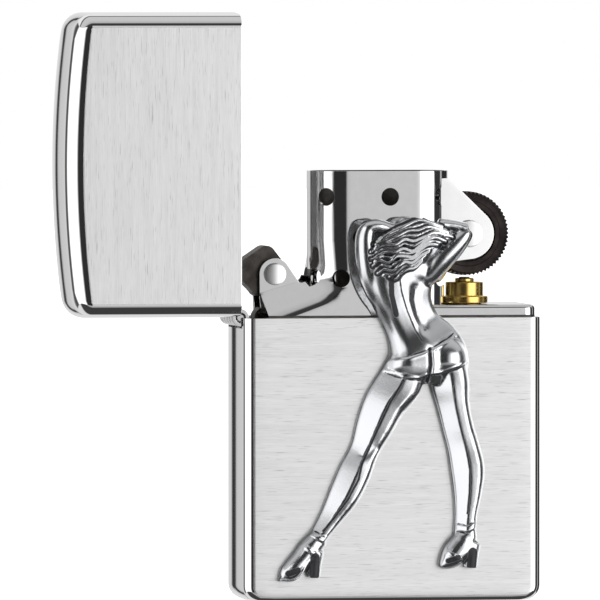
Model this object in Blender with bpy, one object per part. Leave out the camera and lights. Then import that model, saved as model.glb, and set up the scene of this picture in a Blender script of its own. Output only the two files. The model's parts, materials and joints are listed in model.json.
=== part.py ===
"""Windproof petrol lighter with a hinged lid, an inner fuel unit and a cast figure emblem.

Run with: blender --background --python part.py

Frame: metres, +Z up, +X to the right of the front face, +Y away from the front face.
The origin is the middle of the case's flat bottom. The lid is modelled open by 90 degrees.
Lengths below are in millimetres and are scaled by MM where a mesh is made.
"""
import math

import bmesh
import bpy
from mathutils import Matrix, Vector

MM = 0.001

# Case and lid
WIDTH = 36.8                # outer width of case and lid
DEPTH = 13.0                # outer depth of case and lid
CASE_HEIGHT = 34.2          # bottom to rim
LID_HEIGHT = 21.6           # lid rim to the top of its dome
WALL = 0.5                  # sheet thickness of case and lid
CORNER_R = 1.8              # upright corners
FOOT_R_SIDE = 1.8           # bottom edge, seen from the front
FOOT_R_FRONT = 0.7          # bottom edge, how far front and back draw in
CROWN_R = 2.0               # edge around the lid's top
DOME_R = 125.0              # crown of the lid's top across its width
LID_GAP = 0.15              # between the rims when the lid is shut
OPEN_ANGLE = 90.0           # how far the lid stands open in this model

# Lid hinge
HINGE_X = -WIDTH / 2 + 0.05
HINGE_Z = CASE_HEIGHT
KNUCKLE_R = 1.05
KNUCKLE_BORE_R = 0.65
HINGE_PIN_R = 0.4
KNUCKLE_COUNT = 5
KNUCKLE_LENGTH = 1.6
KNUCKLE_GAP = 0.3
BARREL_LENGTH = KNUCKLE_COUNT * KNUCKLE_LENGTH + (KNUCKLE_COUNT - 1) * KNUCKLE_GAP
LEAF_NEAR = 0.60            # leaf plate, nearer and farther face from the hinge axis in X
LEAF_FAR = 0.90
LEAF_HEIGHT = 6.5

# Inner unit
FIT_GAP = 0.2               # between the inner unit and the case
SHEET = 0.4                 # stainless sheet
UNIT_LEFT = -17.05
UNIT_RIGHT = WIDTH / 2 - WALL - FIT_GAP
UNIT_HALF_DEPTH = DEPTH / 2 - WALL - FIT_GAP
UNIT_BOTTOM = 1.6
TANK_TOP = CASE_HEIGHT - 1.0
DECK_TOP = CASE_HEIGHT + 1.5
DECK_LEFT = -15.2
DECK_BOTTOM = TANK_TOP + 0.3

# Chimney
CHIMNEY_X = -0.8
CHIMNEY_HALF_WIDTH = 8.6
CHIMNEY_HALF_DEPTH = 4.3
CHIMNEY_R = 4.2
CHIMNEY_TOP = CASE_HEIGHT + 17.6
VENT_R = 1.08
VENT_TOP_Z = CASE_HEIGHT + 14.5
VENT_MID_Z = CASE_HEIGHT + 9.6
VENT_LOW_Z = CASE_HEIGHT + 4.7
VENT_ROWS = [(VENT_TOP_Z, (-7.9, 0.0, 6.8)), (VENT_MID_Z, (-3.5, 3.5)), (VENT_LOW_Z, (-6.0, 0.0, 6.8))]

# Striker wheel and flint
WHEEL_X = 9.9
WHEEL_Z = CASE_HEIGHT + 10.0
WHEEL_R = 5.1
TOOTH_DEPTH = 0.16
TEETH = 56
WHEEL_HALF_WIDTH = 2.3
WHEEL_BORE_R = 0.75
AXLE_R = 0.6
AXLE_HEAD_R = 1.65
BRACKET_IN = 2.6            # inner and outer face of the wheel's bracket plates, from the middle
BRACKET_OUT = 3.0
BRACKET_NOSE_R = 3.1
TUBE_R = 1.9
TUBE_BORE_R = 1.3
TUBE_BOTTOM = 4.0
COLLAR_R = 2.28
FLANGE_R = 2.85
NECK_R = 1.15
MOUTH_R = 0.85
FLINT_R = 0.65
FLINT_LENGTH = 4.5
NECK_TOP = WHEEL_Z - WHEEL_R - 0.35

# Cam
CAM_X = -13.8
CAM_Z = CASE_HEIGHT + 5.2
CAM_HALF_WIDTH = 1.8
CAM_BORE_R = 0.7
CAM_PIN_R = 0.5
CAM_HEAD_R = 1.33
EAR_IN = 2.1
EAR_OUT = 2.5
EAR_R = 1.95

# Wick and packing
WICK_X = -2.4
WICK_R = 1.25
WICK_TOP = CASE_HEIGHT + 9.0
WICK_BOTTOM = 6.0
PAD_THICKNESS = 2.0

# Emblem
EMBLEM_BACK = -DEPTH / 2 - 0.3

CORNER_STEPS = 6
SIDE_STEPS = 10


# ---------------------------------------------------------------- scene and materials

def clear_scene():
    for obj in list(bpy.data.objects):
        bpy.data.objects.remove(obj, do_unlink=True)


def material(name, color, roughness, metallic):
    mat = bpy.data.materials.new(name)
    mat.use_nodes = True
    shader = mat.node_tree.nodes["Principled BSDF"]
    shader.inputs["Base Color"].default_value = (*color, 1.0)
    shader.inputs["Roughness"].default_value = roughness
    shader.inputs["Metallic"].default_value = metallic
    mat.diffuse_color = (*color, 1.0)
    return mat


FINISHES = {
    "brushed_chrome": ((0.80, 0.80, 0.79), 0.32, 1.0),
    "polished_steel": ((0.74, 0.74, 0.74), 0.12, 1.0),
    "dark_steel": ((0.07, 0.06, 0.055), 0.45, 0.9),
    "wheel_steel": ((0.035, 0.03, 0.03), 0.55, 0.8),
    "brass": ((0.80, 0.58, 0.20), 0.2, 1.0),
    "antique_chrome": ((0.62, 0.63, 0.65), 0.2, 1.0),
    "flint": ((0.16, 0.15, 0.15), 0.7, 0.4),
    "wick": ((0.86, 0.82, 0.72), 0.9, 0.0),
    "cotton": ((0.92, 0.91, 0.88), 0.95, 0.0),
    "felt": ((0.75, 0.74, 0.70), 0.95, 0.0),
}


def make_object(name, bm, finish=None, origin=(0, 0, 0), parent=None):
    """Turn a bmesh in millimetres, given about `origin`, into an object standing at `origin`."""
    bmesh.ops.scale(bm, vec=(MM, MM, MM), verts=bm.verts)
    bmesh.ops.recalc_face_normals(bm, faces=bm.faces)
    mesh = bpy.data.meshes.new(name)
    bm.to_mesh(mesh)
    bm.free()
    mesh.shade_smooth()
    mesh.set_sharp_from_angle(angle=math.radians(30))
    obj = bpy.data.objects.new(name, mesh)
    bpy.context.scene.collection.objects.link(obj)
    if parent is not None:
        obj.parent = parent
    obj.location = Vector(origin) * MM
    if finish is not None:
        mesh.materials.append(material(name + "_finish", *FINISHES[finish]))
    return obj


def boolean(obj, tool, operation):
    modifier = obj.modifiers.new(operation.lower(), "BOOLEAN")
    modifier.operation = operation
    modifier.solver = "EXACT"
    modifier.object = tool
    tool.hide_render = True
    tool.display_type = "WIRE"


# ---------------------------------------------------------------- shape helpers

def rounded_rectangle(half_x, half_y, radius, centre_x=0.0, side_steps=SIDE_STEPS):
    """Points counter-clockwise from the +X side; point k and point -1-k mirror each other in Y."""
    upper = []
    for step in range(CORNER_STEPS + 1):
        angle = math.pi / 2 * step / CORNER_STEPS
        upper.append((half_x - radius + radius * math.cos(angle),
                      half_y - radius + radius * math.sin(angle)))
    straight = half_x - radius
    for step in range(1, side_steps):
        upper.append((straight * (1 - 2 * step / side_steps), half_y))
    for step in range(CORNER_STEPS + 1):
        angle = math.pi / 2 * (1 + step / CORNER_STEPS)
        upper.append((-straight + radius * math.cos(angle),
                      half_y - radius + radius * math.sin(angle)))
    lower = [(x, -y) for x, y in reversed(upper)]
    return [(x + centre_x, y) for x, y in upper + lower]


def add_loft(bm, rings, ring_closed=False):
    """Skin a list of equally long rings of 3-D points; cap both ends unless the rings close up."""
    loops = [[bm.verts.new(point) for point in ring] for ring in rings]
    count = len(loops[0])
    pairs = list(zip(loops, loops[1:]))
    if ring_closed:
        pairs.append((loops[-1], loops[0]))
    for first, second in pairs:
        for k in range(count):
            n = (k + 1) % count
            bm.faces.new((first[k], first[n], second[n], second[k]))
    if not ring_closed:
        for loop in (loops[0], loops[-1]):
            for k in range(count // 2 - 1):
                bm.faces.new((loop[k], loop[k + 1], loop[count - 2 - k], loop[count - 1 - k]))


def add_turned(bm, profile, steps=24, axis="Z", centre=(0, 0, 0)):
    """Turn (radius, height) points about an axis; a radius of 0 closes the shape there."""
    place = {
        "Z": lambda u, v, h: (centre[0] + u, centre[1] + v, centre[2] + h),
        "Y": lambda u, v, h: (centre[0] + u, centre[1] + h, centre[2] + v),
    }[axis]
    rows = []
    for radius, height in profile:
        if radius == 0:
            rows.append([bm.verts.new(place(0, 0, height))])
            continue
        row = []
        for k in range(steps):
            angle = 2 * math.pi * k / steps
            row.append(bm.verts.new(place(radius * math.cos(angle), radius * math.sin(angle), height)))
        rows.append(row)
    if profile[0][0] != 0:
        rows.append(rows[0])
    for first, second in zip(rows, rows[1:]):
        for k in range(steps):
            n = (k + 1) % steps
            corners = [first[k % len(first)], first[n % len(first)],
                       second[n % len(second)], second[k % len(second)]]
            bm.faces.new(list(dict.fromkeys(corners)))


def add_prism(bm, outline, low, high):
    """Extrude an outline of (x, z) points along Y from low to high."""
    front = [bm.verts.new((x, low, z)) for x, z in outline]
    back = [bm.verts.new((x, high, z)) for x, z in outline]
    count = len(outline)
    bm.faces.new(front)
    bm.faces.new(back[::-1])
    for k in range(count):
        n = (k + 1) % count
        bm.faces.new((front[n], front[k], back[k], back[n]))


def add_box(bm, low, high):
    outline = [(low[0], low[2]), (high[0], low[2]), (high[0], high[2]), (low[0], high[2])]
    add_prism(bm, outline, low[1], high[1])


def arc(centre, radius, start, end, steps):
    """Points on an arc in the X-Z plane, angles in degrees from +X towards +Z."""
    points = []
    for step in range(steps + 1):
        angle = math.radians(start + (end - start) * step / steps)
        points.append((centre[0] + radius * math.cos(angle), centre[1] + radius * math.sin(angle)))
    return points


def turned_object(name, profile, finish, centre, axis="Z", steps=24, parent=None):
    bm = bmesh.new()
    add_turned(bm, profile, steps=steps, axis=axis)
    return make_object(name, bm, finish, origin=centre, parent=parent)


def tool_object(name, fill, parent=None):
    bm = bmesh.new()
    fill(bm)
    obj = make_object(name, bm, parent=parent)
    obj.hide_render = True
    return obj


# ---------------------------------------------------------------- case, lid and hinge

def cup_rings(half_x, half_y, corner_r, edge_x, edge_y, height, thickness, steps=5):
    """Rings of a cup whose closed end is at z = 0 and whose mouth is at z = height."""
    def skin(inset):
        rings = []
        reach = edge_x - inset
        for step in range(steps + 1):
            angle = math.pi / 2 * step / steps
            drawn_in = 1 - math.sin(angle)
            z = inset + reach * (1 - math.cos(angle))
            ring = rounded_rectangle(half_x - inset - reach * drawn_in,
                                     half_y - inset - max(edge_y - inset, 0.1) * drawn_in,
                                     corner_r - inset)
            rings.append([(x, y, z) for x, y in ring])
        ring = rounded_rectangle(half_x - inset, half_y - inset, corner_r - inset)
        rings.append([(x, y, height) for x, y in ring])
        return rings
    return skin(0.0) + skin(thickness)[::-1]


def hinge_clearance(bm, towards_lid):
    """The notch that the hinge barrel needs in a wall, about the hinge axis."""
    reach = KNUCKLE_R + 0.25
    half = BARREL_LENGTH / 2 + 0.3
    outline = arc((0, 0), reach, 180, 360, 12) + [(reach, 3.0), (-reach, 3.0)]
    if towards_lid:
        outline = [(x, -z) for x, z in reversed(outline)]
    add_prism(bm, outline, -half, half)


def build_case():
    bm = bmesh.new()
    add_loft(bm, cup_rings(WIDTH / 2, DEPTH / 2, CORNER_R, FOOT_R_SIDE, FOOT_R_FRONT,
                           CASE_HEIGHT, WALL))
    case = make_object("case_shell", bm, "brushed_chrome")
    notch = tool_object("case_notch", lambda tool: hinge_clearance(tool, towards_lid=False))
    notch.location = Vector((HINGE_X, 0, HINGE_Z)) * MM
    boolean(case, notch, "DIFFERENCE")


def build_lid(pivot):
    """The lid in its shut place about the hinge axis; the pivot then swings it open."""
    bm = bmesh.new()
    rings = cup_rings(WIDTH / 2, DEPTH / 2, CORNER_R, CROWN_R, CROWN_R, LID_HEIGHT, WALL)
    placed = []
    for ring in rings:
        placed.append([])
        for x, y, z in ring:
            height = LID_HEIGHT - z
            sag = x * x / (2 * DOME_R) * height / LID_HEIGHT
            placed[-1].append((x - HINGE_X, y, LID_GAP + height - sag))
    add_loft(bm, placed)
    lid = make_object("lid_shell", bm, "brushed_chrome", parent=pivot)
    notch = tool_object("lid_notch", lambda tool: hinge_clearance(tool, towards_lid=True), parent=pivot)
    boolean(lid, notch, "DIFFERENCE")


def knuckle_spans(first):
    start = -BARREL_LENGTH / 2
    pitch = KNUCKLE_LENGTH + KNUCKLE_GAP
    return [(start + k * pitch, start + k * pitch + KNUCKLE_LENGTH)
            for k in range(first, KNUCKLE_COUNT, 2)]


def build_hinge_leaf(name, first_knuckle, side, origin, parent=None):
    """A leaf plate and its knuckles about the hinge axis; side is -1 below it and +1 above it."""
    bm = bmesh.new()
    near = KNUCKLE_R + 0.4
    half = BARREL_LENGTH / 2
    plate = sorted((side * near, side * LEAF_HEIGHT))
    add_box(bm, (LEAF_NEAR, -half, plate[0]), (LEAF_FAR, half, plate[1]))
    leaf = make_object(name, bm, "polished_steel", origin=origin, parent=parent)
    for k, (low, high) in enumerate(knuckle_spans(first_knuckle)):
        def knuckle(tool, low=low, high=high):
            add_turned(tool, [(0, low), (KNUCKLE_R, low), (KNUCKLE_R, high), (0, high)], axis="Y")

        def strap(tool, low=low, high=high):
            ends = sorted((0.0, side * (near + 0.2)))
            add_box(tool, (LEAF_NEAR, low, ends[0]), (LEAF_FAR, high, ends[1]))
        for kind, fill in (("strap", strap), ("knuckle", knuckle)):
            tool = tool_object(f"{name}_{kind}_{k}", fill, parent=parent)
            tool.location = leaf.location
            boolean(leaf, tool, "UNION")
    bore = tool_object(name + "_bore", lambda tool: add_turned(
        tool, [(0, -half - 1), (KNUCKLE_BORE_R, -half - 1), (KNUCKLE_BORE_R, half + 1), (0, half + 1)],
        axis="Y", steps=16), parent=parent)
    bore.location = leaf.location
    boolean(leaf, bore, "DIFFERENCE")


def build_hinge(pivot):
    axis = (HINGE_X, 0, HINGE_Z)
    build_hinge_leaf("hinge_leaf_case", 0, -1, axis)
    build_hinge_leaf("hinge_leaf_lid", 1, 1, (0, 0, 0), parent=pivot)
    end = BARREL_LENGTH / 2 - 0.05
    turned_object("hinge_pin", [(0, -end), (HINGE_PIN_R, -end), (HINGE_PIN_R, end), (0, end)],
                  "polished_steel", axis, axis="Y", steps=12)


# ---------------------------------------------------------------- inner unit

def build_tank():
    bm = bmesh.new()
    half_x = (UNIT_RIGHT - UNIT_LEFT) / 2
    centre = (UNIT_RIGHT + UNIT_LEFT) / 2
    outer = rounded_rectangle(half_x, UNIT_HALF_DEPTH, CORNER_R - 0.4, centre, side_steps=2)
    inner = rounded_rectangle(half_x - SHEET, UNIT_HALF_DEPTH - SHEET, CORNER_R - 0.8, centre, side_steps=2)
    rings = [[(x, y, UNIT_BOTTOM) for x, y in outer], [(x, y, TANK_TOP) for x, y in outer],
             [(x, y, TANK_TOP) for x, y in inner], [(x, y, UNIT_BOTTOM) for x, y in inner]]
    add_loft(bm, rings, ring_closed=True)
    make_object("insert_shell", bm, "polished_steel")


def deck_outline(inset):
    centre = (UNIT_RIGHT + DECK_LEFT) / 2
    half_x = (UNIT_RIGHT - DECK_LEFT) / 2 - inset
    return rounded_rectangle(half_x, UNIT_HALF_DEPTH - inset, CORNER_R - 0.4, centre, side_steps=2)


def chimney_ring(inset, z):
    ring = rounded_rectangle(CHIMNEY_HALF_WIDTH - inset, CHIMNEY_HALF_DEPTH - inset,
                             CHIMNEY_R - inset, CHIMNEY_X, side_steps=2)
    return [(x, y, z) for x, y in ring]


def chimney_place(along):
    """Place and outward angle on the chimney's front, at a distance along its sheet from X = 0."""
    half = CHIMNEY_HALF_WIDTH - CHIMNEY_R
    flat = min(max(along, CHIMNEY_X - half), CHIMNEY_X + half)
    angle = (along - flat) / CHIMNEY_R
    depth = CHIMNEY_HALF_DEPTH - CHIMNEY_R + CHIMNEY_R * math.cos(angle)
    return flat + CHIMNEY_R * math.sin(angle), -depth, angle


def add_vent(bm, along, height, sign):
    """A short round cutter through the sheet, square to it; sign is 1 for the front, -1 for the back."""
    add_turned(bm, [(0, -1), (VENT_R, -1), (VENT_R, 1), (0, 1)], axis="Y", steps=12)
    x, y, angle = chimney_place(along)
    turn = Matrix.Rotation(angle, 4, "Z")
    move = Matrix.Translation((x, y, height))
    flip = Matrix.Scale(sign, 4, (0, 1, 0))
    bmesh.ops.transform(bm, matrix=flip @ move @ turn, verts=bm.verts)


def ear_outline():
    """A cam ear: a foot on the deck, a rounded top about the cam's pivot."""
    return ([(-15.4, DECK_TOP - 0.2), (-8.6, DECK_TOP - 0.2), (-8.6, CAM_Z - 0.4)]
            + arc((CAM_X, CAM_Z), EAR_R, 35, 180, 8)
            + [(CAM_X - EAR_R, DECK_TOP + 1.4)])


def bracket_outline():
    """A wheel bracket: a pointed plate whose round nose is about the wheel's axle."""
    return ([(6.4, WHEEL_Z - 3.5)]
            + arc((WHEEL_X, WHEEL_Z), BRACKET_NOSE_R, -80, 42, 10)
            + [(7.4, WHEEL_Z + 6.7), (6.4, WHEEL_Z + 6.7)])


def build_insert_top():
    """The deck, its perforated chimney, the two cam ears and the two wheel brackets."""
    bm = bmesh.new()
    add_loft(bm, [[(x, y, DECK_TOP) for x, y in deck_outline(0.3)],
                  [(x, y, DECK_TOP - 0.3) for x, y in deck_outline(0)],
                  [(x, y, DECK_BOTTOM) for x, y in deck_outline(0)],
                  [(x, y, DECK_BOTTOM) for x, y in deck_outline(SHEET)],
                  [(x, y, DECK_TOP - SHEET) for x, y in deck_outline(SHEET)]])
    top = make_object("insert_top", bm, "polished_steel")

    def add(name, fill):
        boolean(top, tool_object(name, fill), "UNION")

    def cut(name, fill):
        boolean(top, tool_object(name, fill), "DIFFERENCE")

    add("chimney", lambda t: add_loft(t, [chimney_ring(0, DECK_TOP - 0.2), chimney_ring(0, CHIMNEY_TOP),
                                          chimney_ring(SHEET, CHIMNEY_TOP),
                                          chimney_ring(SHEET, DECK_TOP - 0.2)], ring_closed=True))
    cut("wheel_slot", lambda t: add_box(
        t, (CHIMNEY_X + 5.0, -BRACKET_IN - 0.05, DECK_TOP + 0.15),
        (WHEEL_X + 6, BRACKET_IN + 0.05, WHEEL_Z + WHEEL_R + 0.5)))
    for side, sign in (("front", -1), ("back", 1)):
        span = sorted((sign * BRACKET_IN, sign * BRACKET_OUT))
        add(f"bracket_{side}", lambda t, s=span: add_prism(t, bracket_outline(), s[0], s[1]))
        span = sorted((sign * EAR_IN, sign * EAR_OUT))
        add(f"ear_{side}", lambda t, s=span: add_prism(t, ear_outline(), s[0], s[1]))
        vents = [(x, z) for z, row in VENT_ROWS for x in row]
        for k, (x, z) in enumerate(vents):
            cut(f"vent_{side}_{k}", lambda t, x=x, z=z, s=-sign: add_vent(t, x, z, s))
    cut("axle_hole", lambda t: add_turned(t, [(0, -4), (AXLE_R + 0.15, -4), (AXLE_R + 0.15, 4), (0, 4)],
                                          axis="Y", steps=16, centre=(WHEEL_X, 0, WHEEL_Z)))
    cut("cam_pin_hole", lambda t: add_turned(t, [(0, -4), (CAM_PIN_R + 0.15, -4),
                                                 (CAM_PIN_R + 0.15, 4), (0, 4)],
                                             axis="Y", steps=16, centre=(CAM_X, 0, CAM_Z)))
    cut("wick_hole", lambda t: add_turned(t, [(0, 30), (WICK_R + 0.3, 30), (WICK_R + 0.3, 37), (0, 37)],
                                          steps=16, centre=(WICK_X, 0, 0)))
    cut("tube_hole", lambda t: add_turned(t, [(0, 30), (TUBE_R + 0.3, 30), (TUBE_R + 0.3, 36.2), (0, 36.2)],
                                          steps=20, centre=(WHEEL_X, 0, 0)))
    cut("cam_well", lambda t: add_box(t, (DECK_LEFT - 1, -EAR_IN + 0.05, DECK_BOTTOM - 1),
                                      (CAM_X + 3.0, EAR_IN - 0.05, DECK_TOP + 1)))


def build_cam():
    """A cam lever about its rivet, with the lobe that the lid's hinge wall pushes."""
    lobes = [((-0.9, 2.3), 1.1, 40, 125), ((-3.9, 0.5), 0.9, 125, 215), ((-1.8, -1.95), 0.75, 200, 300),
             ((0.3, -0.4), 1.8, -80, 40)]
    outline = []
    for centre, radius, start, end in lobes:
        outline += arc(centre, radius, start, end, 5)
    bm = bmesh.new()
    add_prism(bm, outline, -CAM_HALF_WIDTH, CAM_HALF_WIDTH)
    cam = make_object("cam", bm, "dark_steel", origin=(CAM_X, 0, CAM_Z))
    bore = tool_object("cam_bore", lambda t: add_turned(
        t, [(0, -4), (CAM_BORE_R, -4), (CAM_BORE_R, 4), (0, 4)], axis="Y", steps=16,
        centre=(CAM_X, 0, CAM_Z)))
    boolean(cam, bore, "DIFFERENCE")


def rivet_profile(pin_r, head_r, seat, head_height):
    """A pin with a domed head on each end; seat is the inner face of a head from the middle."""
    right = []
    for step in range(6):
        angle = math.pi / 2 * step / 5
        right.append((head_r * math.cos(angle), seat + 0.1 + head_height * math.sin(angle)))
    right[-1] = (0, seat + 0.1 + head_height)
    upper = [(pin_r, seat), (head_r, seat)] + right
    lower = [(radius, -height) for radius, height in reversed(upper)]
    return lower + upper


def build_rivets():
    turned_object("cam_rivet", rivet_profile(CAM_PIN_R, CAM_HEAD_R, EAR_OUT + 0.1, 0.55),
                  "polished_steel", (CAM_X, 0, CAM_Z), axis="Y", steps=20)
    turned_object("wheel_axle", rivet_profile(AXLE_R, AXLE_HEAD_R, BRACKET_OUT + 0.1, 0.35),
                  "polished_steel", (WHEEL_X, 0, WHEEL_Z), axis="Y", steps=24)


def build_cam_spring():
    """A bent strip: a foot against the tank's end wall, and a curled end under the cam."""
    thickness = 0.3
    centre_line = [(-16.0, CASE_HEIGHT - 16.0), (-16.0, CASE_HEIGHT - 3.0)]
    centre_line += arc((-14.6, CASE_HEIGHT - 0.2), 1.4, 180, 60, 6)
    left, right = [], []
    for k, point in enumerate(centre_line):
        before = Vector(centre_line[max(k - 1, 0)])
        after = Vector(centre_line[min(k + 1, len(centre_line) - 1)])
        along = (after - before).normalized()
        across = Vector((-along.y, along.x)) * thickness / 2
        left.append(tuple(Vector(point) + across))
        right.append(tuple(Vector(point) - across))
    bm = bmesh.new()
    add_prism(bm, left + right[::-1], -1.5, 1.5)
    make_object("cam_spring", bm, "dark_steel")


def build_wheel():
    """The striker wheel: a toothed tread, a step on each face and a bore on the axle."""
    steps = TEETH * 2

    def ring(radius, y, toothed=False):
        points = []
        for k in range(steps):
            angle = 2 * math.pi * k / steps
            r = radius - (TOOTH_DEPTH if toothed and k % 2 else 0)
            points.append((r * math.cos(angle), y, r * math.sin(angle)))
        return points
    half = WHEEL_HALF_WIDTH
    rings = [ring(WHEEL_BORE_R, -half), ring(WHEEL_R - 0.45, -half), ring(WHEEL_R, -half + 0.4, True),
             ring(WHEEL_R, half - 0.4, True), ring(WHEEL_R - 0.45, half), ring(WHEEL_BORE_R, half)]
    bm = bmesh.new()
    add_loft(bm, rings, ring_closed=True)
    make_object("striker_wheel", bm, "wheel_steel", origin=(WHEEL_X, 0, WHEEL_Z))


# ---------------------------------------------------------------- flint column

def build_flint_column():
    place = (WHEEL_X, 0, 0)
    seat = DECK_TOP + 0.3
    shoulder = CASE_HEIGHT + 2.4
    collar_top = CASE_HEIGHT + 4.1
    turned_object("flint_tube", [
        (TUBE_BORE_R, TUBE_BOTTOM), (TUBE_R, TUBE_BOTTOM), (TUBE_R, seat), (FLANGE_R, seat),
        (FLANGE_R, shoulder), (COLLAR_R, shoulder), (COLLAR_R, collar_top), (NECK_R, collar_top),
        (NECK_R, NECK_TOP), (MOUTH_R, NECK_TOP), (MOUTH_R, collar_top - 1.0),
        (TUBE_BORE_R, collar_top - 1.0)], "brass", place, steps=24)

    flint_top = NECK_TOP + 0.15
    flint_bottom = flint_top - FLINT_LENGTH
    turned_object("flint", [(0, 0), (FLINT_R, 0), (FLINT_R, -FLINT_LENGTH), (0, -FLINT_LENGTH)],
                  "flint", (WHEEL_X, 0, flint_top), steps=12)

    pusher_top = flint_bottom - 0.2
    pusher_bottom = pusher_top - 2.6
    turned_object("flint_pusher", [(0, 0), (0.6, 0), (0.6, -1.4), (1.0, -1.4), (1.0, -2.0),
                                   (0.45, -2.0), (0.45, -2.6), (0, -2.6)],
                  "brass", (WHEEL_X, 0, pusher_top), steps=12)

    screw_tip = 9.0
    head_low, head_high = 1.9, 3.6
    screw = turned_object("flint_screw", [
        (0, head_low), (1.75, head_low), (1.75, head_high), (1.0, head_high), (1.0, screw_tip - 1),
        (0.5, screw_tip - 1), (0.5, screw_tip), (0, screw_tip)], "brass", place, steps=20)
    slot = tool_object("screw_slot", lambda t: add_box(t, (WHEEL_X - 3, -0.3, head_low - 1),
                                                       (WHEEL_X + 3, 0.3, head_low + 0.7)))
    boolean(screw, slot, "DIFFERENCE")
    build_flint_spring(screw_tip + 0.2, pusher_bottom - 0.2)


def build_flint_spring(bottom, top, turns=11, coil_r=0.8, wire_r=0.17, steps_per_turn=10, sides=5):
    bm = bmesh.new()
    rise = top - bottom - 2 * wire_r
    count = turns * steps_per_turn
    rings = []
    for k in range(count + 1):
        angle = 2 * math.pi * k / steps_per_turn
        height = bottom + wire_r + rise * k / count
        outward = Vector((math.cos(angle), math.sin(angle), 0))
        centre = outward * coil_r + Vector((0, 0, height))
        ring = []
        for s in range(sides):
            turn = 2 * math.pi * s / sides
            ring.append(bm.verts.new(centre + (outward * math.cos(turn)
                                               + Vector((0, 0, math.sin(turn)))) * wire_r))
        rings.append(ring)
    for first, second in zip(rings, rings[1:]):
        for s in range(sides):
            n = (s + 1) % sides
            bm.faces.new((first[s], first[n], second[n], second[s]))
    bm.faces.new(rings[0])
    bm.faces.new(rings[-1][::-1])
    make_object("flint_spring", bm, "polished_steel", origin=(WHEEL_X, 0, 0))


# ---------------------------------------------------------------- wick and packing

def add_rounded_block(bm, low, high, radius=0.8):
    half = [(b - a) / 2 for a, b in zip(low, high)]
    centre = [(b + a) / 2 for a, b in zip(low, high)]
    rings = []
    for inset, z in ((radius, low[2]), (0, low[2] + radius), (0, high[2] - radius), (radius, high[2])):
        ring = rounded_rectangle(half[0] - inset, half[1] - inset, radius, centre[0], side_steps=2)
        rings.append([(x, y + centre[1], z) for x, y in ring])
    add_loft(bm, rings)


def build_packing():
    turned_object("wick", [(0, WICK_BOTTOM), (WICK_R, WICK_BOTTOM), (WICK_R, WICK_TOP - 0.3),
                           (WICK_R - 0.3, WICK_TOP), (0, WICK_TOP)], "wick", (WICK_X, 0, 0), steps=16)
    depth = UNIT_HALF_DEPTH - SHEET - 0.4
    left = (-14.6, WICK_X - WICK_R - 0.3)
    right = (WICK_X + WICK_R + 0.3, WHEEL_X - TUBE_R - 0.4)
    levels = [(4.4, 18.0), (18.4, TANK_TOP - 0.6)]
    number = 1
    for low_x, high_x in (left, right):
        for low_z, high_z in levels:
            bm = bmesh.new()
            add_rounded_block(bm, (low_x, -depth, low_z), (high_x, depth, high_z))
            make_object(f"cotton_{number}", bm, "cotton")
            number += 1
    bm = bmesh.new()
    pad_bottom = UNIT_BOTTOM + 0.3
    add_rounded_block(bm, (UNIT_LEFT + SHEET + 0.3, -depth, pad_bottom),
                      (WHEEL_X - 2.2, depth, pad_bottom + PAD_THICKNESS), radius=0.5)
    make_object("felt_pad", bm, "felt")


# ---------------------------------------------------------------- emblem

def add_limb(bm, stations, sides=12):
    """Skin elliptic sections along a limb; each station is x, z, half width and half depth."""
    rings = []
    for k, (x, z, half_width, half_depth) in enumerate(stations):
        before = stations[max(k - 1, 0)]
        after = stations[min(k + 1, len(stations) - 1)]
        along = Vector((after[0] - before[0], 0, after[1] - before[1])).normalized()
        across = Vector((along.z, 0, -along.x))
        ring = []
        for s in range(sides):
            angle = 2 * math.pi * (s + 0.5) / sides
            ring.append(Vector((x, 0, z)) + across * half_width * math.cos(angle)
                        + Vector((0, -1, 0)) * half_depth * math.sin(angle))
        rings.append([tuple(point) for point in ring])
    add_loft(bm, rings)


TORSO = [(4.1, 26.4, 4.2, 2.2), (4.0, 28.6, 5.0, 2.9), (3.4, 30.7, 4.5, 2.8), (2.3, 32.8, 3.5, 2.3),
         (1.5, 34.7, 3.4, 2.3), (0.9, 36.7, 3.9, 2.6), (0.5, 38.9, 4.5, 3.0), (0.9, 40.7, 5.2, 3.2),
         (1.3, 42.8, 5.9, 3.3), (1.8, 44.6, 5.2, 2.8), (2.0, 45.7, 3.6, 1.8)]
LEFT_LEG = [(1.2, 27.8, 2.5, 2.2), (0.4, 26.2, 2.8, 2.4), (-1.2, 23.9, 2.5, 2.4), (-2.4, 21.0, 2.2, 2.2),
            (-3.7, 18.0, 1.8, 1.9), (-5.0, 15.2, 1.9, 2.0), (-6.5, 12.1, 1.7, 1.8), (-8.4, 9.4, 1.25, 1.5),
            (-9.5, 8.0, 1.15, 1.5), (-10.8, 6.2, 1.3, 1.6), (-12.3, 4.5, 1.2, 1.5), (-13.5, 3.3, 0.7, 1.1)]
RIGHT_LEG = [(6.4, 27.8, 2.4, 2.2), (6.7, 26.2, 2.5, 2.4), (7.1, 23.9, 2.1, 2.3), (7.7, 21.0, 2.0, 2.1),
             (8.5, 18.5, 2.1, 2.1), (9.0, 15.9, 2.1, 2.1), (9.0, 13.0, 1.7, 1.9), (8.8, 10.4, 1.35, 1.6),
             (8.6, 8.6, 1.4, 1.6), (8.1, 6.8, 1.6, 1.7), (7.2, 5.4, 1.4, 1.5), (6.3, 4.5, 0.7, 1.0)]
HEELS = [[(-9.9, 6.2, 0.8, 1.4), (-10.1, 3.1, 0.65, 1.3)], [(9.3, 7.0, 0.9, 1.5), (9.2, 4.1, 0.75, 1.3)]]
LEFT_ARM = [(-2.4, 36.6, 1.0, 1.6), (-3.4, 38.6, 1.3, 2.0), (-4.0, 41.5, 1.3, 2.2), (-4.0, 44.4, 1.2, 2.0),
            (-3.4, 45.6, 0.9, 1.4)]
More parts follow.
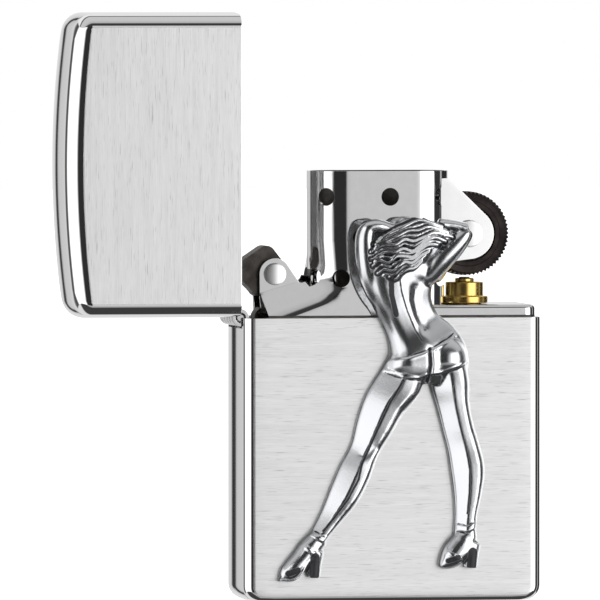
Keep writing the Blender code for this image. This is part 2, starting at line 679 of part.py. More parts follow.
RIGHT_ARM = [(4.6, 40.6, 1.4, 2.2), (6.6, 42.6, 1.5, 2.2), (8.2, 44.1, 1.3, 1.9), (8.9, 44.8, 0.8, 1.2)]


def build_emblem():
    """A cast figure seen from behind, standing on the front face, its upper half above the rim."""
    bm = bmesh.new()
    for stations in [TORSO, LEFT_LEG, RIGHT_LEG, LEFT_ARM, RIGHT_ARM] + HEELS:
        add_limb(bm, stations)
    bmesh.ops.translate(bm, vec=(0, EMBLEM_BACK - 0.1, 0), verts=bm.verts)
    emblem = make_object("figure_emblem", bm, "antique_chrome")
    remesh = emblem.modifiers.new("cast", "REMESH")
    remesh.mode = "VOXEL"
    remesh.voxel_size = 0.8 * MM
    remesh.use_smooth_shade = True
    behind = tool_object("behind_emblem", lambda t: add_box(t, (-20, EMBLEM_BACK, -5), (20, 0, 60)))
    boolean(emblem, behind, "DIFFERENCE")


def main():
    clear_scene()
    bpy.context.scene.unit_settings.system = "METRIC"
    pivot = bpy.data.objects.new("lid_pivot", None)
    bpy.context.scene.collection.objects.link(pivot)
    pivot.location = Vector((HINGE_X, 0, HINGE_Z)) * MM
    pivot.rotation_euler = (0, math.radians(-OPEN_ANGLE), 0)
    bpy.context.view_layer.update()

    build_case()
    build_lid(pivot)
    build_hinge(pivot)
    build_tank()
    build_insert_top()
    build_cam()
    build_rivets()
    build_cam_spring()
    build_wheel()
    build_flint_column()
    build_packing()
    build_emblem()


main()
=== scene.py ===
import json
import math

import bmesh
import bpy
import numpy as np
from mathutils import Matrix, Vector


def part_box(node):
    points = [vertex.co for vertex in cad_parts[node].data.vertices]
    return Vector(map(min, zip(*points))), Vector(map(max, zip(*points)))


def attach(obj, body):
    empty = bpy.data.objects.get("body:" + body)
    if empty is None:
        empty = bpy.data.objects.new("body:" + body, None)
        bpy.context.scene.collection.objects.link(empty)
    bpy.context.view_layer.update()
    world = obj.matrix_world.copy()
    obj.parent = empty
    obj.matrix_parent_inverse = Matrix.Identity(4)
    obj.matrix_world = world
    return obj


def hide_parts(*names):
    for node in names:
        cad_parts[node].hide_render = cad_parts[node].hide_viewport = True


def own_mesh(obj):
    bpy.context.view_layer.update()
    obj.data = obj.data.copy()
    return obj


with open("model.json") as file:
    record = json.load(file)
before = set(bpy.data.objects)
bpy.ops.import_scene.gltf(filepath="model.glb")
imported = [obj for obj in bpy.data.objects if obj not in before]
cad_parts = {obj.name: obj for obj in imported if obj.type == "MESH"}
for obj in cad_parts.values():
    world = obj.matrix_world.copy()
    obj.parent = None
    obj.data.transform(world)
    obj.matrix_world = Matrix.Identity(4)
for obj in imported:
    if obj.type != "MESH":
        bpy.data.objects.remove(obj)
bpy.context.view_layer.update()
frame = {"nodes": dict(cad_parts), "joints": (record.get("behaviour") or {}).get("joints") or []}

# Lengths below are in millimetres; a mesh is scaled by MM when it is made.
MM = 0.001


def box_mm(node):
    low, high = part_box(node)
    return low / MM, high / MM


def joint(name):
    return next(item for item in frame["joints"] if item["name"] == name)


def joint_mm(name):
    """Where a hinge joint's axis is."""
    return Vector(joint(name)["pos_m"]) / MM


# ---- sizes, from the frame where it has them

CASE_HIGH = box_mm("case_shell")[1]
LID_LOW, LID_HIGH = box_mm("lid_shell")
TOP_LOW, TOP_HIGH = box_mm("insert_top")
WHEEL_HIGH = box_mm("striker_wheel")[1]
TUBE_LOW, TUBE_HIGH = box_mm("flint_tube")
EMBLEM_LOW, EMBLEM_HIGH = box_mm("figure_emblem")
WICK_LOW, WICK_HIGH = box_mm("wick")
HINGE = joint_mm("lid_hinge")
CAM = joint_mm("cam_pivot")
WHEEL = joint_mm("wheel_spin")

HALF_W = CASE_HIGH.x
HALF_D = CASE_HIGH.y
RIM = CASE_HIGH.z
LID_GAP = HINGE.x - LID_HIGH.x
LID_TALL = LID_HIGH.x - LID_LOW.x
WALL = 0.5
CORNER_R = 1.8
CASE_CORNER_R = 1.4
FOOT_R = 1.8
FOOT_DRAW = 0.5
CROWN_R = 2.0
DOME_R = 125.0
SHEET = 0.4
DECK_TOP = RIM + 1.5
DECK_LEFT = TOP_LOW.x + 0.2
DECK_RIGHT = TOP_HIGH.x
CHIMNEY_X = -0.8
CHIMNEY_HALF_W = 8.6
CHIMNEY_HALF_D = 4.3
CHIMNEY_R = 4.2
VENT_R = 1.08
BRACKET_LEFT = 6.4
KNUCKLE_R = 1.05
BARREL = 9.2


# ---- mesh helpers

SMOOTH_ANGLE = 35.0      # a sharper edge than this stays sharp


def shade(mesh, smooth_angle):
    mesh.shade_smooth()
    if smooth_angle is not None:
        mesh.set_sharp_from_angle(angle=math.radians(smooth_angle))


def object_from(name, bm, smooth_angle=SMOOTH_ANGLE):
    mesh = bpy.data.meshes.new(name)
    bm.to_mesh(mesh)
    bm.free()
    shade(mesh, smooth_angle)
    obj = bpy.data.objects.new(name, mesh)
    bpy.context.scene.collection.objects.link(obj)
    return obj


def new_object(name, bm, smooth_angle=SMOOTH_ANGLE):
    """An object from a bmesh in millimetres, in the row frame."""
    bmesh.ops.scale(bm, vec=(MM, MM, MM), verts=bm.verts)
    bmesh.ops.recalc_face_normals(bm, faces=bm.faces)
    return object_from(name, bm, smooth_angle)


def settle(obj, smooth_angle=SMOOTH_ANGLE):
    """Replace an object's mesh by what its modifiers make of it."""
    graph = bpy.context.evaluated_depsgraph_get()
    mesh = bpy.data.meshes.new_from_object(obj.evaluated_get(graph))
    obj.modifiers.clear()
    obj.data = mesh
    shade(mesh, smooth_angle)
    return obj


def carve(obj, fills, smooth_angle=SMOOTH_ANGLE):
    """Cut shapes out of an object; each fill is a function that draws its shape into a bmesh."""
    for fill in fills:
        bm = bmesh.new()
        fill(bm)
        tool = new_object("tool", bm)
        modifier = obj.modifiers.new("cut", "BOOLEAN")
        modifier.operation = "DIFFERENCE"
        modifier.solver = "MANIFOLD"
        modifier.object = tool
        settle(obj, smooth_angle)
        bpy.data.objects.remove(tool, do_unlink=True)
    return obj


def soften(obj, width, angle=40.0, segments=2):
    """Round an object's sharp edges."""
    modifier = obj.modifiers.new("soft_edges", "BEVEL")
    modifier.width = width * MM
    modifier.segments = segments
    modifier.limit_method = "ANGLE"
    modifier.angle_limit = math.radians(angle)
    return settle(obj)


def join(name, objects):
    """One object from several, keeping each one's faces."""
    bm = bmesh.new()
    for obj in objects:
        bm.from_mesh(obj.data)
        bpy.data.objects.remove(obj, do_unlink=True)
    return object_from(name, bm)


def rounded_rectangle(half_x, half_y, radius, centre_x=0.0, corner_steps=12, side_steps=20, bow=0.0):
    """Points counter-clockwise from the +X side; point k and point -1-k mirror each other in Y.
    A bow makes the two short sides slightly convex."""
    end = half_y - radius
    bowed = []
    if bow:
        bowed = [(half_x - bow * (k / 6) ** 2, end * k / 6) for k in range(1, 6)]
        half_x -= bow
    upper = list(bowed)
    for step in range(corner_steps + 1):
        angle = math.pi / 2 * step / corner_steps
        upper.append((half_x - radius + radius * math.cos(angle),
                      half_y - radius + radius * math.sin(angle)))
    straight = half_x - radius
    for step in range(1, side_steps):
        upper.append((straight * (1 - 2 * step / side_steps), half_y))
    for step in range(corner_steps + 1):
        angle = math.pi / 2 * (1 + step / corner_steps)
        upper.append((-straight + radius * math.cos(angle),
                      half_y - radius + radius * math.sin(angle)))
    upper += [(-x, y) for x, y in reversed(bowed)]
    lower = [(x, -y) for x, y in reversed(upper)]
    return [(x + centre_x, y) for x, y in upper + lower]


def add_loft(bm, rings, ring_closed=False):
    """Skin a list of equally long rings; cap both ends unless the rings close up."""
    loops = [[bm.verts.new(point) for point in ring] for ring in rings]
    count = len(loops[0])
    pairs = list(zip(loops, loops[1:]))
    if ring_closed:
        pairs.append((loops[-1], loops[0]))
    for first, second in pairs:
        for k in range(count):
            n = (k + 1) % count
            bm.faces.new((first[k], first[n], second[n], second[k]))
    if not ring_closed:
        for loop in (loops[0], loops[-1]):
            for k in range(count // 2 - 1):
                bm.faces.new((loop[k], loop[k + 1], loop[count - 2 - k], loop[count - 1 - k]))


def add_turned(bm, profile, steps=48, axis="Z", centre=(0, 0, 0)):
    """Turn (radius, height) points about an axis; a radius of 0 closes the shape there."""
    cx, cy, cz = centre
    rows = []
    for radius, height in profile:
        row = []
        for k in range(1 if radius == 0 else steps):
            angle = 2 * math.pi * k / steps
            u, v = radius * math.cos(angle), radius * math.sin(angle)
            point = (cx + u, cy + v, cz + height) if axis == "Z" else (cx + u, cy + height, cz + v)
            row.append(bm.verts.new(point))
        rows.append(row)
    if profile[0][0] != 0:
        rows.append(rows[0])
    for first, second in zip(rows, rows[1:]):
        for k in range(steps):
            n = (k + 1) % steps
            corners = [first[k % len(first)], first[n % len(first)],
                       second[n % len(second)], second[k % len(second)]]
            bm.faces.new(list(dict.fromkeys(corners)))


def add_prism(bm, outline, low, high):
    """Extrude an outline of (x, z) points along Y from low to high."""
    front = [bm.verts.new((x, low, z)) for x, z in outline]
    back = [bm.verts.new((x, high, z)) for x, z in outline]
    count = len(outline)
    bm.faces.new(front)
    bm.faces.new(back[::-1])
    for k in range(count):
        n = (k + 1) % count
        bm.faces.new((front[n], front[k], back[k], back[n]))


def add_box(bm, low, high):
    outline = [(low[0], low[2]), (high[0], low[2]), (high[0], high[2]), (low[0], high[2])]
    add_prism(bm, outline, low[1], high[1])


def arc(centre, radius, start, end, steps):
    """Points on an arc in the X-Z plane, angles in degrees from +X towards +Z."""
    points = []
    for step in range(steps + 1):
        angle = math.radians(start + (end - start) * step / steps)
        points.append((centre[0] + radius * math.cos(angle), centre[1] + radius * math.sin(angle)))
    return points


def rounded_profile(points, radius=0.08, steps=3):
    """A turned profile with its corners rounded; the first and last points stay."""
    result = [points[0]]
    for before, corner, after in zip(points, points[1:], points[2:]):
        here = Vector(corner)
        back = Vector(before) - here
        ahead = Vector(after) - here
        reach = min(radius, back.length * 0.45, ahead.length * 0.45)
        start = here + back.normalized() * reach
        end = here + ahead.normalized() * reach
        for step in range(steps + 1):
            t = step / steps
            point = start * (1 - t) ** 2 + here * 2 * t * (1 - t) + end * t ** 2
            result.append((max(point.x, 0.0), point.y))
    result.append(points[-1])
    return result


def smoothstep(low, high, value):
    t = min(max((value - low) / (high - low), 0.0), 1.0)
    return t * t * (3 - 2 * t)


# ---- material helpers

class Nodes:
    """Short calls for building the node tree of a new material, or of the world."""

    def __init__(self, name, world=None):
        self.material = world or bpy.data.materials.new(name)
        self.material.use_nodes = True
        self.tree = self.material.node_tree
        self.shader = self.tree.nodes["Background" if world else "Principled BSDF"]

    def node(self, kind, **settings):
        made = self.tree.nodes.new(kind)
        for key, value in settings.items():
            setattr(made, key, value)
        return made

    def put(self, socket, value):
        """Set a socket, or link it when the value is another node's output."""
        if isinstance(value, bpy.types.NodeSocket):
            self.tree.links.new(value, socket)
        else:
            socket.default_value = value

    def math(self, operation, *values):
        made = self.node("ShaderNodeMath", operation=operation)
        for socket, value in zip(made.inputs, values):
            self.put(socket, value)
        return made.outputs[0]

    def map(self, value, low, high, to_low=0.0, to_high=1.0, kind="LINEAR"):
        made = self.node("ShaderNodeMapRange", interpolation_type=kind)
        for socket, item in zip(made.inputs, (value, low, high, to_low, to_high)):
            self.put(socket, item)
        return made.outputs[0]

    def mix(self, share, first, second):
        """Mix two colours, or a colour with another node's colour."""
        made = self.node("ShaderNodeMix", data_type="RGBA")
        self.put(made.inputs[0], share)
        for socket, value in ((made.inputs[6], first), (made.inputs[7], second)):
            self.put(socket, value if isinstance(value, bpy.types.NodeSocket) else (*value, 1.0))
        return made.outputs[2]

    def split(self, vector):
        made = self.node("ShaderNodeSeparateXYZ")
        self.put(made.inputs[0], vector)
        return made.outputs

    def ramp(self, value, stops):
        """A ramp of (degrees, brightness) stops over a whole turn, from -180 to 180."""
        made = self.node("ShaderNodeValToRGB")
        elements = made.color_ramp.elements
        while len(elements) < len(stops):
            elements.new(0.5)
        for element, (degrees, brightness) in zip(elements, stops):
            element.position = degrees / 360 + 0.5
            element.color = (*grey(brightness), 1.0)
        self.put(made.inputs[0], value)
        return made.outputs[0]

    def noise(self, vector, scale, detail=2.0, roughness=0.5):
        made = self.node("ShaderNodeTexNoise")
        self.put(made.inputs["Vector"], vector)
        made.inputs["Scale"].default_value = scale
        made.inputs["Detail"].default_value = detail
        made.inputs["Roughness"].default_value = roughness
        return made.outputs["Fac"]

    def object_coordinates(self, scale=(1.0, 1.0, 1.0)):
        coordinates = self.node("ShaderNodeTexCoord")
        mapping = self.node("ShaderNodeMapping")
        self.put(mapping.inputs["Vector"], coordinates.outputs["Object"])
        mapping.inputs["Scale"].default_value = scale
        return mapping.outputs["Vector"]

    def bump(self, height, distance, strength=1.0):
        made = self.node("ShaderNodeBump")
        made.inputs["Strength"].default_value = strength
        made.inputs["Distance"].default_value = distance * MM
        self.put(made.inputs["Height"], height)
        self.put(self.shader.inputs["Normal"], made.outputs["Normal"])

    def set(self, **values):
        for key, value in values.items():
            self.put(self.shader.inputs[key.replace("_", " ")], value)
        return self


def grey(value):
    return (value, value, value)


def brushed_chrome(name, along, limit):
    """Brushed flat faces; the edges, whose normal leans off Y by more than limit degrees, are polished."""
    n = Nodes(name)
    fine = (300.0, 300.0, 13000.0) if along == "X" else (13000.0, 300.0, 300.0)
    broad = (90.0, 90.0, 2500.0) if along == "X" else (2500.0, 90.0, 90.0)
    streak = n.noise(n.object_coordinates(fine), 1.0, 3.0, 0.65)
    band = n.noise(n.object_coordinates(broad), 1.0, 2.0)
    normal = n.split(n.node("ShaderNodeTexCoord").outputs["Normal"])
    lean = n.math("ABSOLUTE", normal["Y"])
    edge = math.cos(math.radians(limit))
    flat = n.map(lean, edge - 0.002, edge + 0.002)
    tone = n.math("ADD", n.math("MULTIPLY", streak, 0.7), n.math("MULTIPLY", band, 0.3))
    scratch = n.noise(n.object_coordinates(tuple(1.35 * value for value in fine)), 1.0, 1.0)
    brushed = n.mix(n.map(tone, 0.3, 0.7), grey(0.80), grey(1.0))
    brushed = n.mix(n.map(scratch, 0.66, 0.76), brushed, grey(0.50))
    rough = n.map(streak, 0.3, 0.7, 0.30, 0.42)
    n.set(Base_Color=n.mix(flat, grey(0.88), brushed), Metallic=1.0,
          Roughness=n.map(flat, 0.0, 1.0, 0.05, rough))
    n.bump(n.math("MULTIPLY", streak, flat), 0.006)
    return n.material


def polished_steel(name, tone=0.80, roughness=0.06):
    n = Nodes(name)
    wear = n.noise(n.object_coordinates((1.0, 1.0, 1.0)), 900.0, 3.0)
    n.set(Base_Color=n.mix(wear, grey(tone - 0.03), grey(tone + 0.03)), Metallic=1.0,
          Roughness=n.map(wear, 0.3, 0.7, roughness - 0.02, roughness + 0.05))
    return n.material


def dark_steel(name, dark, light, roughness=0.42):
    n = Nodes(name)
    cloud = n.noise(n.object_coordinates(), 700.0, 4.0)
    speck = n.noise(n.object_coordinates(), 6000.0, 2.0)
    n.set(Base_Color=n.mix(n.map(cloud, 0.3, 0.7), dark, light), Metallic=0.85,
          Roughness=n.map(speck, 0.3, 0.7, roughness - 0.08, roughness + 0.1))
    n.bump(speck, 0.004)
    return n.material


def brass(name):
    n = Nodes(name)
    cloud = n.noise(n.object_coordinates(), 900.0, 3.0)
    n.set(Base_Color=n.mix(n.map(cloud, 0.3, 0.7), (0.83, 0.53, 0.14), (0.93, 0.68, 0.24)), Metallic=1.0,
          Roughness=n.map(cloud, 0.3, 0.7, 0.20, 0.28))
    return n.material


def antique_chrome(name):
    """Bright on the raised parts; dark where the mesh's own attribute of patina and painted shade is high."""
    n = Nodes(name)
    patina_and_shade = n.node("ShaderNodeAttribute", attribute_name="patina_and_shade").outputs["Fac"]
    mottle = n.noise(n.object_coordinates(), 2600.0, 4.0, 0.6)
    broken = n.math("ADD", patina_and_shade, n.map(mottle, 0.3, 0.7, -0.12, 0.12))
    dark = n.map(broken, 0.30, 0.62)
    n.set(Base_Color=n.mix(dark, (0.72, 0.73, 0.75), (0.045, 0.045, 0.05)),
          Roughness=n.map(dark, 0.0, 1.0, 0.22, 0.5), Metallic=n.map(dark, 0.0, 1.0, 1.0, 0.6))
    n.bump(mottle, 0.006)
    return n.material


def fibre(name, base, shadow, scale=4000.0):
    n = Nodes(name)
    tangle = n.noise(n.object_coordinates(), scale, 5.0, 0.7)
    n.set(Base_Color=n.mix(n.map(tangle, 0.3, 0.7), shadow, base), Roughness=0.95, Metallic=0.0,
          Sheen_Weight=0.3)
    n.bump(tangle, 0.05)
    return n.material


def dress(obj, mat, slot, body, *nodes, flats=True):
    """Give a piece its material and the body that it rides on; slot is not used; flats keeps big faces flat.
    """
    if flats:
        weighted = obj.modifiers.new("flat_faces", "WEIGHTED_NORMAL")
        weighted.keep_sharp = True
    obj.data.materials.clear()
    obj.data.materials.append(mat)
    if nodes:
        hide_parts(*nodes)
    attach(obj, body)
    return obj


# ---- case and lid

SIDE_BOW = 0.20


def cup_rings(height, edge_x, edge_y, corner_r=CORNER_R, steps=10):
    """Rings of a cup whose closed end is at z = 0 and whose mouth is at z = height."""
    def skin(inset):
        rings = []
        reach = edge_x - inset
        for step in range(steps + 1):
            angle = math.pi / 2 * step / steps
            drawn_in = 1 - math.sin(angle)
            ring = rounded_rectangle(HALF_W - inset - reach * drawn_in,
                                     HALF_D - inset - max(edge_y - inset, 0.1) * drawn_in,
                                     corner_r - inset, bow=SIDE_BOW)
            z = inset + reach * (1 - math.cos(angle))
            rings.append([(x, y, z) for x, y in ring])
        rings = [[(x * (0.8 + 0.2 * share), y * share, z) for x, y, z in rings[0]]
                 for share in (0.1, 0.3, 0.5, 0.7, 0.85)] + rings
        round_mouth = 0.1
        for step in range(3):
            angle = math.pi / 2 * step / 2
            shrink = inset + (round_mouth if inset == 0 else -round_mouth) * (1 - math.cos(angle))
            ring = rounded_rectangle(HALF_W - shrink, HALF_D - shrink, corner_r - shrink, bow=SIDE_BOW)
            rings.append([(x, y, height - round_mouth * (1 - math.sin(angle))) for x, y in ring])
        return rings
    return skin(0.0) + skin(WALL)[::-1]


def add_hinge_notch(bm, towards_lid):
    reach = KNUCKLE_R + 0.25
    half = BARREL / 2 + 0.3
    outline = arc((0, 0), reach, 180, 360, 24) + [(reach, 3.0), (-reach, 3.0)]
    if towards_lid:
        outline = [(-z, x) for x, z in [(x, -z) for x, z in reversed(outline)]]
    add_prism(bm, [(x + HINGE.x, z + HINGE.z) for x, z in outline], -half, half)


def build_case():
    bm = bmesh.new()
    add_loft(bm, cup_rings(RIM, FOOT_R, FOOT_DRAW, CASE_CORNER_R))
    case = new_object("case_body", bm)
    carve(case, [lambda t: add_hinge_notch(t, towards_lid=False)])
    dress(case, brushed_chrome("case_brushed", "X", 14.0), "brushed_chrome", "case", "case_shell")


CROWN_BOW = 0.012      # how fast the lid's crown falls away from its middle line, per mm


def open_lid_point(x, y, above):
    """A point of the shut lid, at x and y and above the rim, in the open lid's place."""
    return (HINGE.x - LID_GAP - above, y, HINGE.z + x - HINGE.x)


def build_lid():
    rings = []
    for ring in cup_rings(LID_TALL, CROWN_R, CROWN_R):
        rings.append([])
        for x, y, z in ring:
            above = LID_TALL - z
            sag = (x * x / (2 * DOME_R) + CROWN_BOW * y * y) * above / LID_TALL
            rings[-1].append(open_lid_point(x, y, above - sag))
    bm = bmesh.new()
    add_loft(bm, rings)
    lid = new_object("lid_body", bm)
    carve(lid, [lambda t: add_hinge_notch(t, towards_lid=True)])
    dress(lid, brushed_chrome("lid_brushed", "Z", 6.0), "brushed_chrome", "lid", "lid_shell")


# ---- inner unit's top

def soft_max(a, b, reach):
    """The larger of two numbers, rounded where they are within reach of each other."""
    return max(a, b) + max(reach - abs(a - b), 0.0) ** 2 / (4 * reach)


def soft_min(a, b, reach):
    return -soft_max(-a, -b, reach)


FLARE = 0.155            # how much nearer the case the chimney's front leans per mm down
FOLD_X, FOLD_ABOVE, FOLD_SLOPE = -15.7, 2.9, 0.30    # the end's fold: above the rim at X, and its rise
EAR_HALF = 2.8           # half the depth between the ears, at the fold
EAR_SPREAD = 0.9         # how fast the panels open below it
PANEL_REACH = 6.6        # how far they run past the chimney's left end
VENT_HEIGHTS = (RIM + 14.5, RIM + 9.6, RIM + 4.7)
# Distances along the sheet from X = 0, row by row.
FRONT_VENTS = ((-7.9, 0.0, 6.8), (-3.5, 3.5), (-9.3, -6.0, 0.0, 6.8))
BACK_VENTS = ((-8.8, -0.9, 5.9), (-4.4, 2.6), (-7.6, -0.9, 5.9))


def chimney_half_depth(x, z):
    """Half the chimney's depth at x and z: it leans out to the case, and its left end opens out
    below a fold into the two panels that carry the cam ears."""
    straight = CHIMNEY_HALF_W - CHIMNEY_R
    widest = TOP_HIGH.y - 0.05
    wide = min(max(widest - FLARE * (z - RIM), CHIMNEY_HALF_D), widest)
    front = CHIMNEY_HALF_D + (wide - CHIMNEY_HALF_D) * smoothstep(4.0, -2.0, x)
    into_end = (abs(x - CHIMNEY_X) - straight) / CHIMNEY_R
    if into_end <= 0:
        return front
    end = front * math.sqrt(max(1 - into_end ** 2, 0.0))
    if x > CHIMNEY_X:
        return end
    if into_end >= 1:
        end = 1.0
    fold = RIM + FOLD_ABOVE + FOLD_SLOPE * (x - FOLD_X)
    panel = max(EAR_HALF + EAR_SPREAD * (fold - z), 0.0)
    opened = soft_max(end, soft_min(panel, front, 0.7), min(1.6, panel + 0.01))
    return min(opened, front)


def chimney_ring(inset, z):
    """The chimney's section, inset by the sheet's thickness for its inner side."""
    straight = CHIMNEY_HALF_W - CHIMNEY_R
    left_tip = CHIMNEY_X - CHIMNEY_HALF_W - PANEL_REACH * smoothstep(RIM + 5.0, RIM + 4.25, z)
    right_tip = CHIMNEY_X + CHIMNEY_HALF_W
    corner_steps, side_steps = 18, 20
    right, left = CHIMNEY_X + straight, CHIMNEY_X - straight
    quarter = [math.pi / 2 * k / corner_steps for k in range(corner_steps + 1)]
    xs = [right + (right_tip - right) * math.cos(angle) for angle in quarter]
    xs += [CHIMNEY_X + straight * (1 - 2 * k / side_steps) for k in range(1, side_steps)]
    xs += [left + (left_tip - left) * math.sin(angle) for angle in quarter]
    upper = []
    for k, x in enumerate(xs):
        tip = k in (0, len(xs) - 1)
        upper.append((x, 0.02 if tip else chimney_half_depth(x, z)))
    points = []
    for k, (x, y) in enumerate(upper):
        before, after = upper[max(k - 1, 0)], upper[min(k + 1, len(upper) - 1)]
        along = Vector((after[0] - before[0], after[1] - before[1])).normalized()
        inward = Vector((0, -1)) if abs(along.x) > 0.999 else Vector((-along.y, along.x))
        if k == 0:
            inward = Vector((-1, 0))
        elif k == len(upper) - 1:
            inward = Vector((1, 0))
        points.append((x + inward.x * inset, max(y + inward.y * inset, 0.01)))
    lower = [(x, -y) for x, y in reversed(points)]
    return [(x, y, z) for x, y in points + lower]


def vent_cutter(along, height, sign):
    """A round cutter square to the sheet, at a distance along it from X = 0."""
    half = CHIMNEY_HALF_W - CHIMNEY_R
    flat = min(max(along, CHIMNEY_X - half), CHIMNEY_X + half)
    angle = (along - flat) / CHIMNEY_R
    x = flat + CHIMNEY_R * math.sin(angle)
    y = -(CHIMNEY_HALF_D - CHIMNEY_R + CHIMNEY_R * math.cos(angle))

    def fill(bm):
        add_turned(bm, [(0, -1.6), (VENT_R, -1.6), (VENT_R, 1.6), (0, 1.6)], axis="Y", steps=32)
        matrix = Matrix.Scale(sign, 4, (0, 1, 0)) @ Matrix.Translation((x, y, height))
        bmesh.ops.transform(bm, matrix=matrix @ Matrix.Rotation(angle, 4, "Z"), verts=bm.verts)
    return fill


def build_chimney():
    """The perforated chimney, and inside its opened left end the plain round end that closes it."""
    flare = [RIM - 1.0 + 0.25 * k for k in range(42)]
    levels = flare + [RIM + 12.0, TOP_HIGH.z - 0.3, TOP_HIGH.z]
    bm = bmesh.new()
    rings = [chimney_ring(0, z) for z in levels] + [chimney_ring(SHEET, z) for z in reversed(levels)]
    add_loft(bm, rings, ring_closed=True)
    chimney = new_object("chimney", bm)
    left_edge = [(-25.0, RIM - 3.0), (-14.9, RIM - 3.0), (-15.0, RIM), (-15.65, RIM + 2.9),
                 (-11.2, RIM + 4.2), (-10.6, RIM + 4.15), (-10.1, RIM + 4.3), (-9.8, RIM + 4.6),
                 (-9.6, RIM + 5.3), (-25.0, RIM + 5.3)]
    right = 40.0
    cuts = [lambda t: add_box(t, (-25, -2.1, RIM - 3), (-9.7, 2.1, RIM + 5.0)),
            lambda t: add_box(t, (CHIMNEY_X + 5.0, -2.65, DECK_TOP + 0.15),
                              (right, 2.65, WHEEL.z + 5.6))]
    end_vents = [vent_cutter(-9.3, RIM + 4.9, 1), vent_cutter(-7.6, RIM + 4.7, -1)]
    for sign, rows in ((1, FRONT_VENTS), (-1, BACK_VENTS)):
        for row, height in zip(rows, VENT_HEIGHTS):
            cuts += [vent_cutter(along, height, sign) for along in row]
    cuts.append(lambda t: add_prism(t, left_edge, -9, 9))
    carve(chimney, cuts)
    inner = []
    end_top = RIM + 9.0
    for inset, z in ((SHEET, DECK_TOP), (SHEET, end_top), (2 * SHEET, end_top), (2 * SHEET, DECK_TOP)):
        ring = rounded_rectangle(CHIMNEY_HALF_W - inset, CHIMNEY_HALF_D - inset, CHIMNEY_R - inset, CHIMNEY_X)
        inner.append([(x, y, z) for x, y in ring])
    bm = bmesh.new()
    add_loft(bm, inner, ring_closed=True)
    closed_end = carve(new_object("closed_end", bm), [
        lambda t: add_box(t, (-6.4, -9, DECK_TOP - 1), (right, 9, RIM + 12))] + end_vents)
    return [chimney, closed_end]


def deck_ring(inset, z):
    centre = (DECK_RIGHT + DECK_LEFT) / 2
    half = (DECK_RIGHT - DECK_LEFT) / 2
    ring = rounded_rectangle(half - inset, TOP_HIGH.y - inset, 1.4 - min(inset, 0.9), centre,
                             side_steps=4)
    return [(x, y, z) for x, y in ring]


def build_deck():
    rings = [deck_ring(0.9, DECK_TOP)]
    edge = 0.55
    for step in range(6):
        angle = math.pi / 2 * step / 5
        rings.append(deck_ring(edge * (1 - math.sin(angle)), DECK_TOP - edge * (1 - math.cos(angle))))
    # The ring at RIM + 0.25 bounds the painted shadow in the seam.
    rings += [deck_ring(0, RIM + 0.25), deck_ring(0, TOP_LOW.z), deck_ring(SHEET, TOP_LOW.z),
              deck_ring(SHEET, DECK_TOP - SHEET)]
    bm = bmesh.new()
    add_loft(bm, rings)
    deck = new_object("deck", bm)
    carve(deck, [
        lambda t: add_turned(t, [(0, 30), (1.5, 30), (1.5, 37), (0, 37)], centre=(WICK_LOW.x + 1.25, 0, 0)),
        lambda t: add_turned(t, [(0, 30), (2.1, 30), (2.1, 37), (0, 37)], centre=(WHEEL.x, 0, 0)),
        lambda t: add_box(t, (DECK_LEFT - 1, -4.6, TOP_LOW.z - 1), (CAM.x + 3.0, 4.6, DECK_TOP + 1)),
        lambda t: add_box(t, (DECK_LEFT - 1, -9, RIM - 0.6), (1.0, -3.6, DECK_TOP + 1)),
        lambda t: add_box(t, (DECK_LEFT - 1, 3.6, RIM - 0.6), (1.0, 9, DECK_TOP + 1))])
    return deck


def plate(name, outline, inner, outer, edge=0.06, converge=0.0, about=0.0):
    """A pair of flat plates, in front and behind, that may converge to the right of an X."""
    pair = []
    for sign in (-1, 1):
        bm = bmesh.new()
        low, high = sorted((sign * inner, sign * outer))
        add_prism(bm, outline, low, high)
        for vert in bm.verts:
            vert.co.y -= sign * converge * (vert.co.x - about)
        pair.append(soften(new_object(name, bm), edge))
    return pair


def painted_shade_face(face):
    """Whether a face gets the dark steel painted on as shade: inside the chimney, or in the seam between the
    inner unit and the case, where it is a painted shadow.
    """
    centre = face.center / MM
    in_seam = RIM - 1.5 < centre.z < RIM + 0.2
    inwards = face.normal.x * (centre.x - CHIMNEY_X) * 0.3 + face.normal.y * centre.y < 0
    lowest = DECK_TOP + 0.3 if centre.x > -7.0 else RIM + 5.4
    in_chimney = (centre.z > lowest and abs(face.normal.z) < 0.5
                  and CHIMNEY_X - 8.4 < centre.x < min(CHIMNEY_X + 8.4, BRACKET_LEFT))
    return in_seam or (inwards and in_chimney)


def build_insert_top():
    ear = ([(-15.5, DECK_TOP - 0.5), (-10.0, DECK_TOP - 0.5), (-10.0, CAM.z - 2.2)]
           + arc((CAM.x, CAM.z), 1.92, 36, 180, 24) + [(CAM.x - 1.9, DECK_TOP + 1.4)])
    bracket = ([(BRACKET_LEFT, WHEEL.z - 3.6)] + arc((WHEEL.x, WHEEL.z), 3.1, -80, 42, 28)
               + [(7.42, WHEEL.z + 6.7), (BRACKET_LEFT, WHEEL.z + 6.7)])
    pieces = build_chimney() + [build_deck()] + plate("ear", ear, 2.1, 2.5)
    pieces += plate("bracket", bracket, 2.6, 3.0, converge=0.03, about=WHEEL.x)
    top = join("insert_top_sheet", pieces)
    dress(top, polished_steel("stainless_sheet", 0.80, 0.04), "polished_steel", "case", "insert_top")
    # A dark steel painted on as shade, inside the chimney and in the seam where the inner unit enters the
    # case.
    top.data.materials.append(dark_steel("painted_shade_steel", (0.07, 0.065, 0.06), (0.16, 0.15, 0.14), 0.45))
    for face in top.data.polygons:
        face.material_index = int(painted_shade_face(face))


# ---- small parts of the inner unit

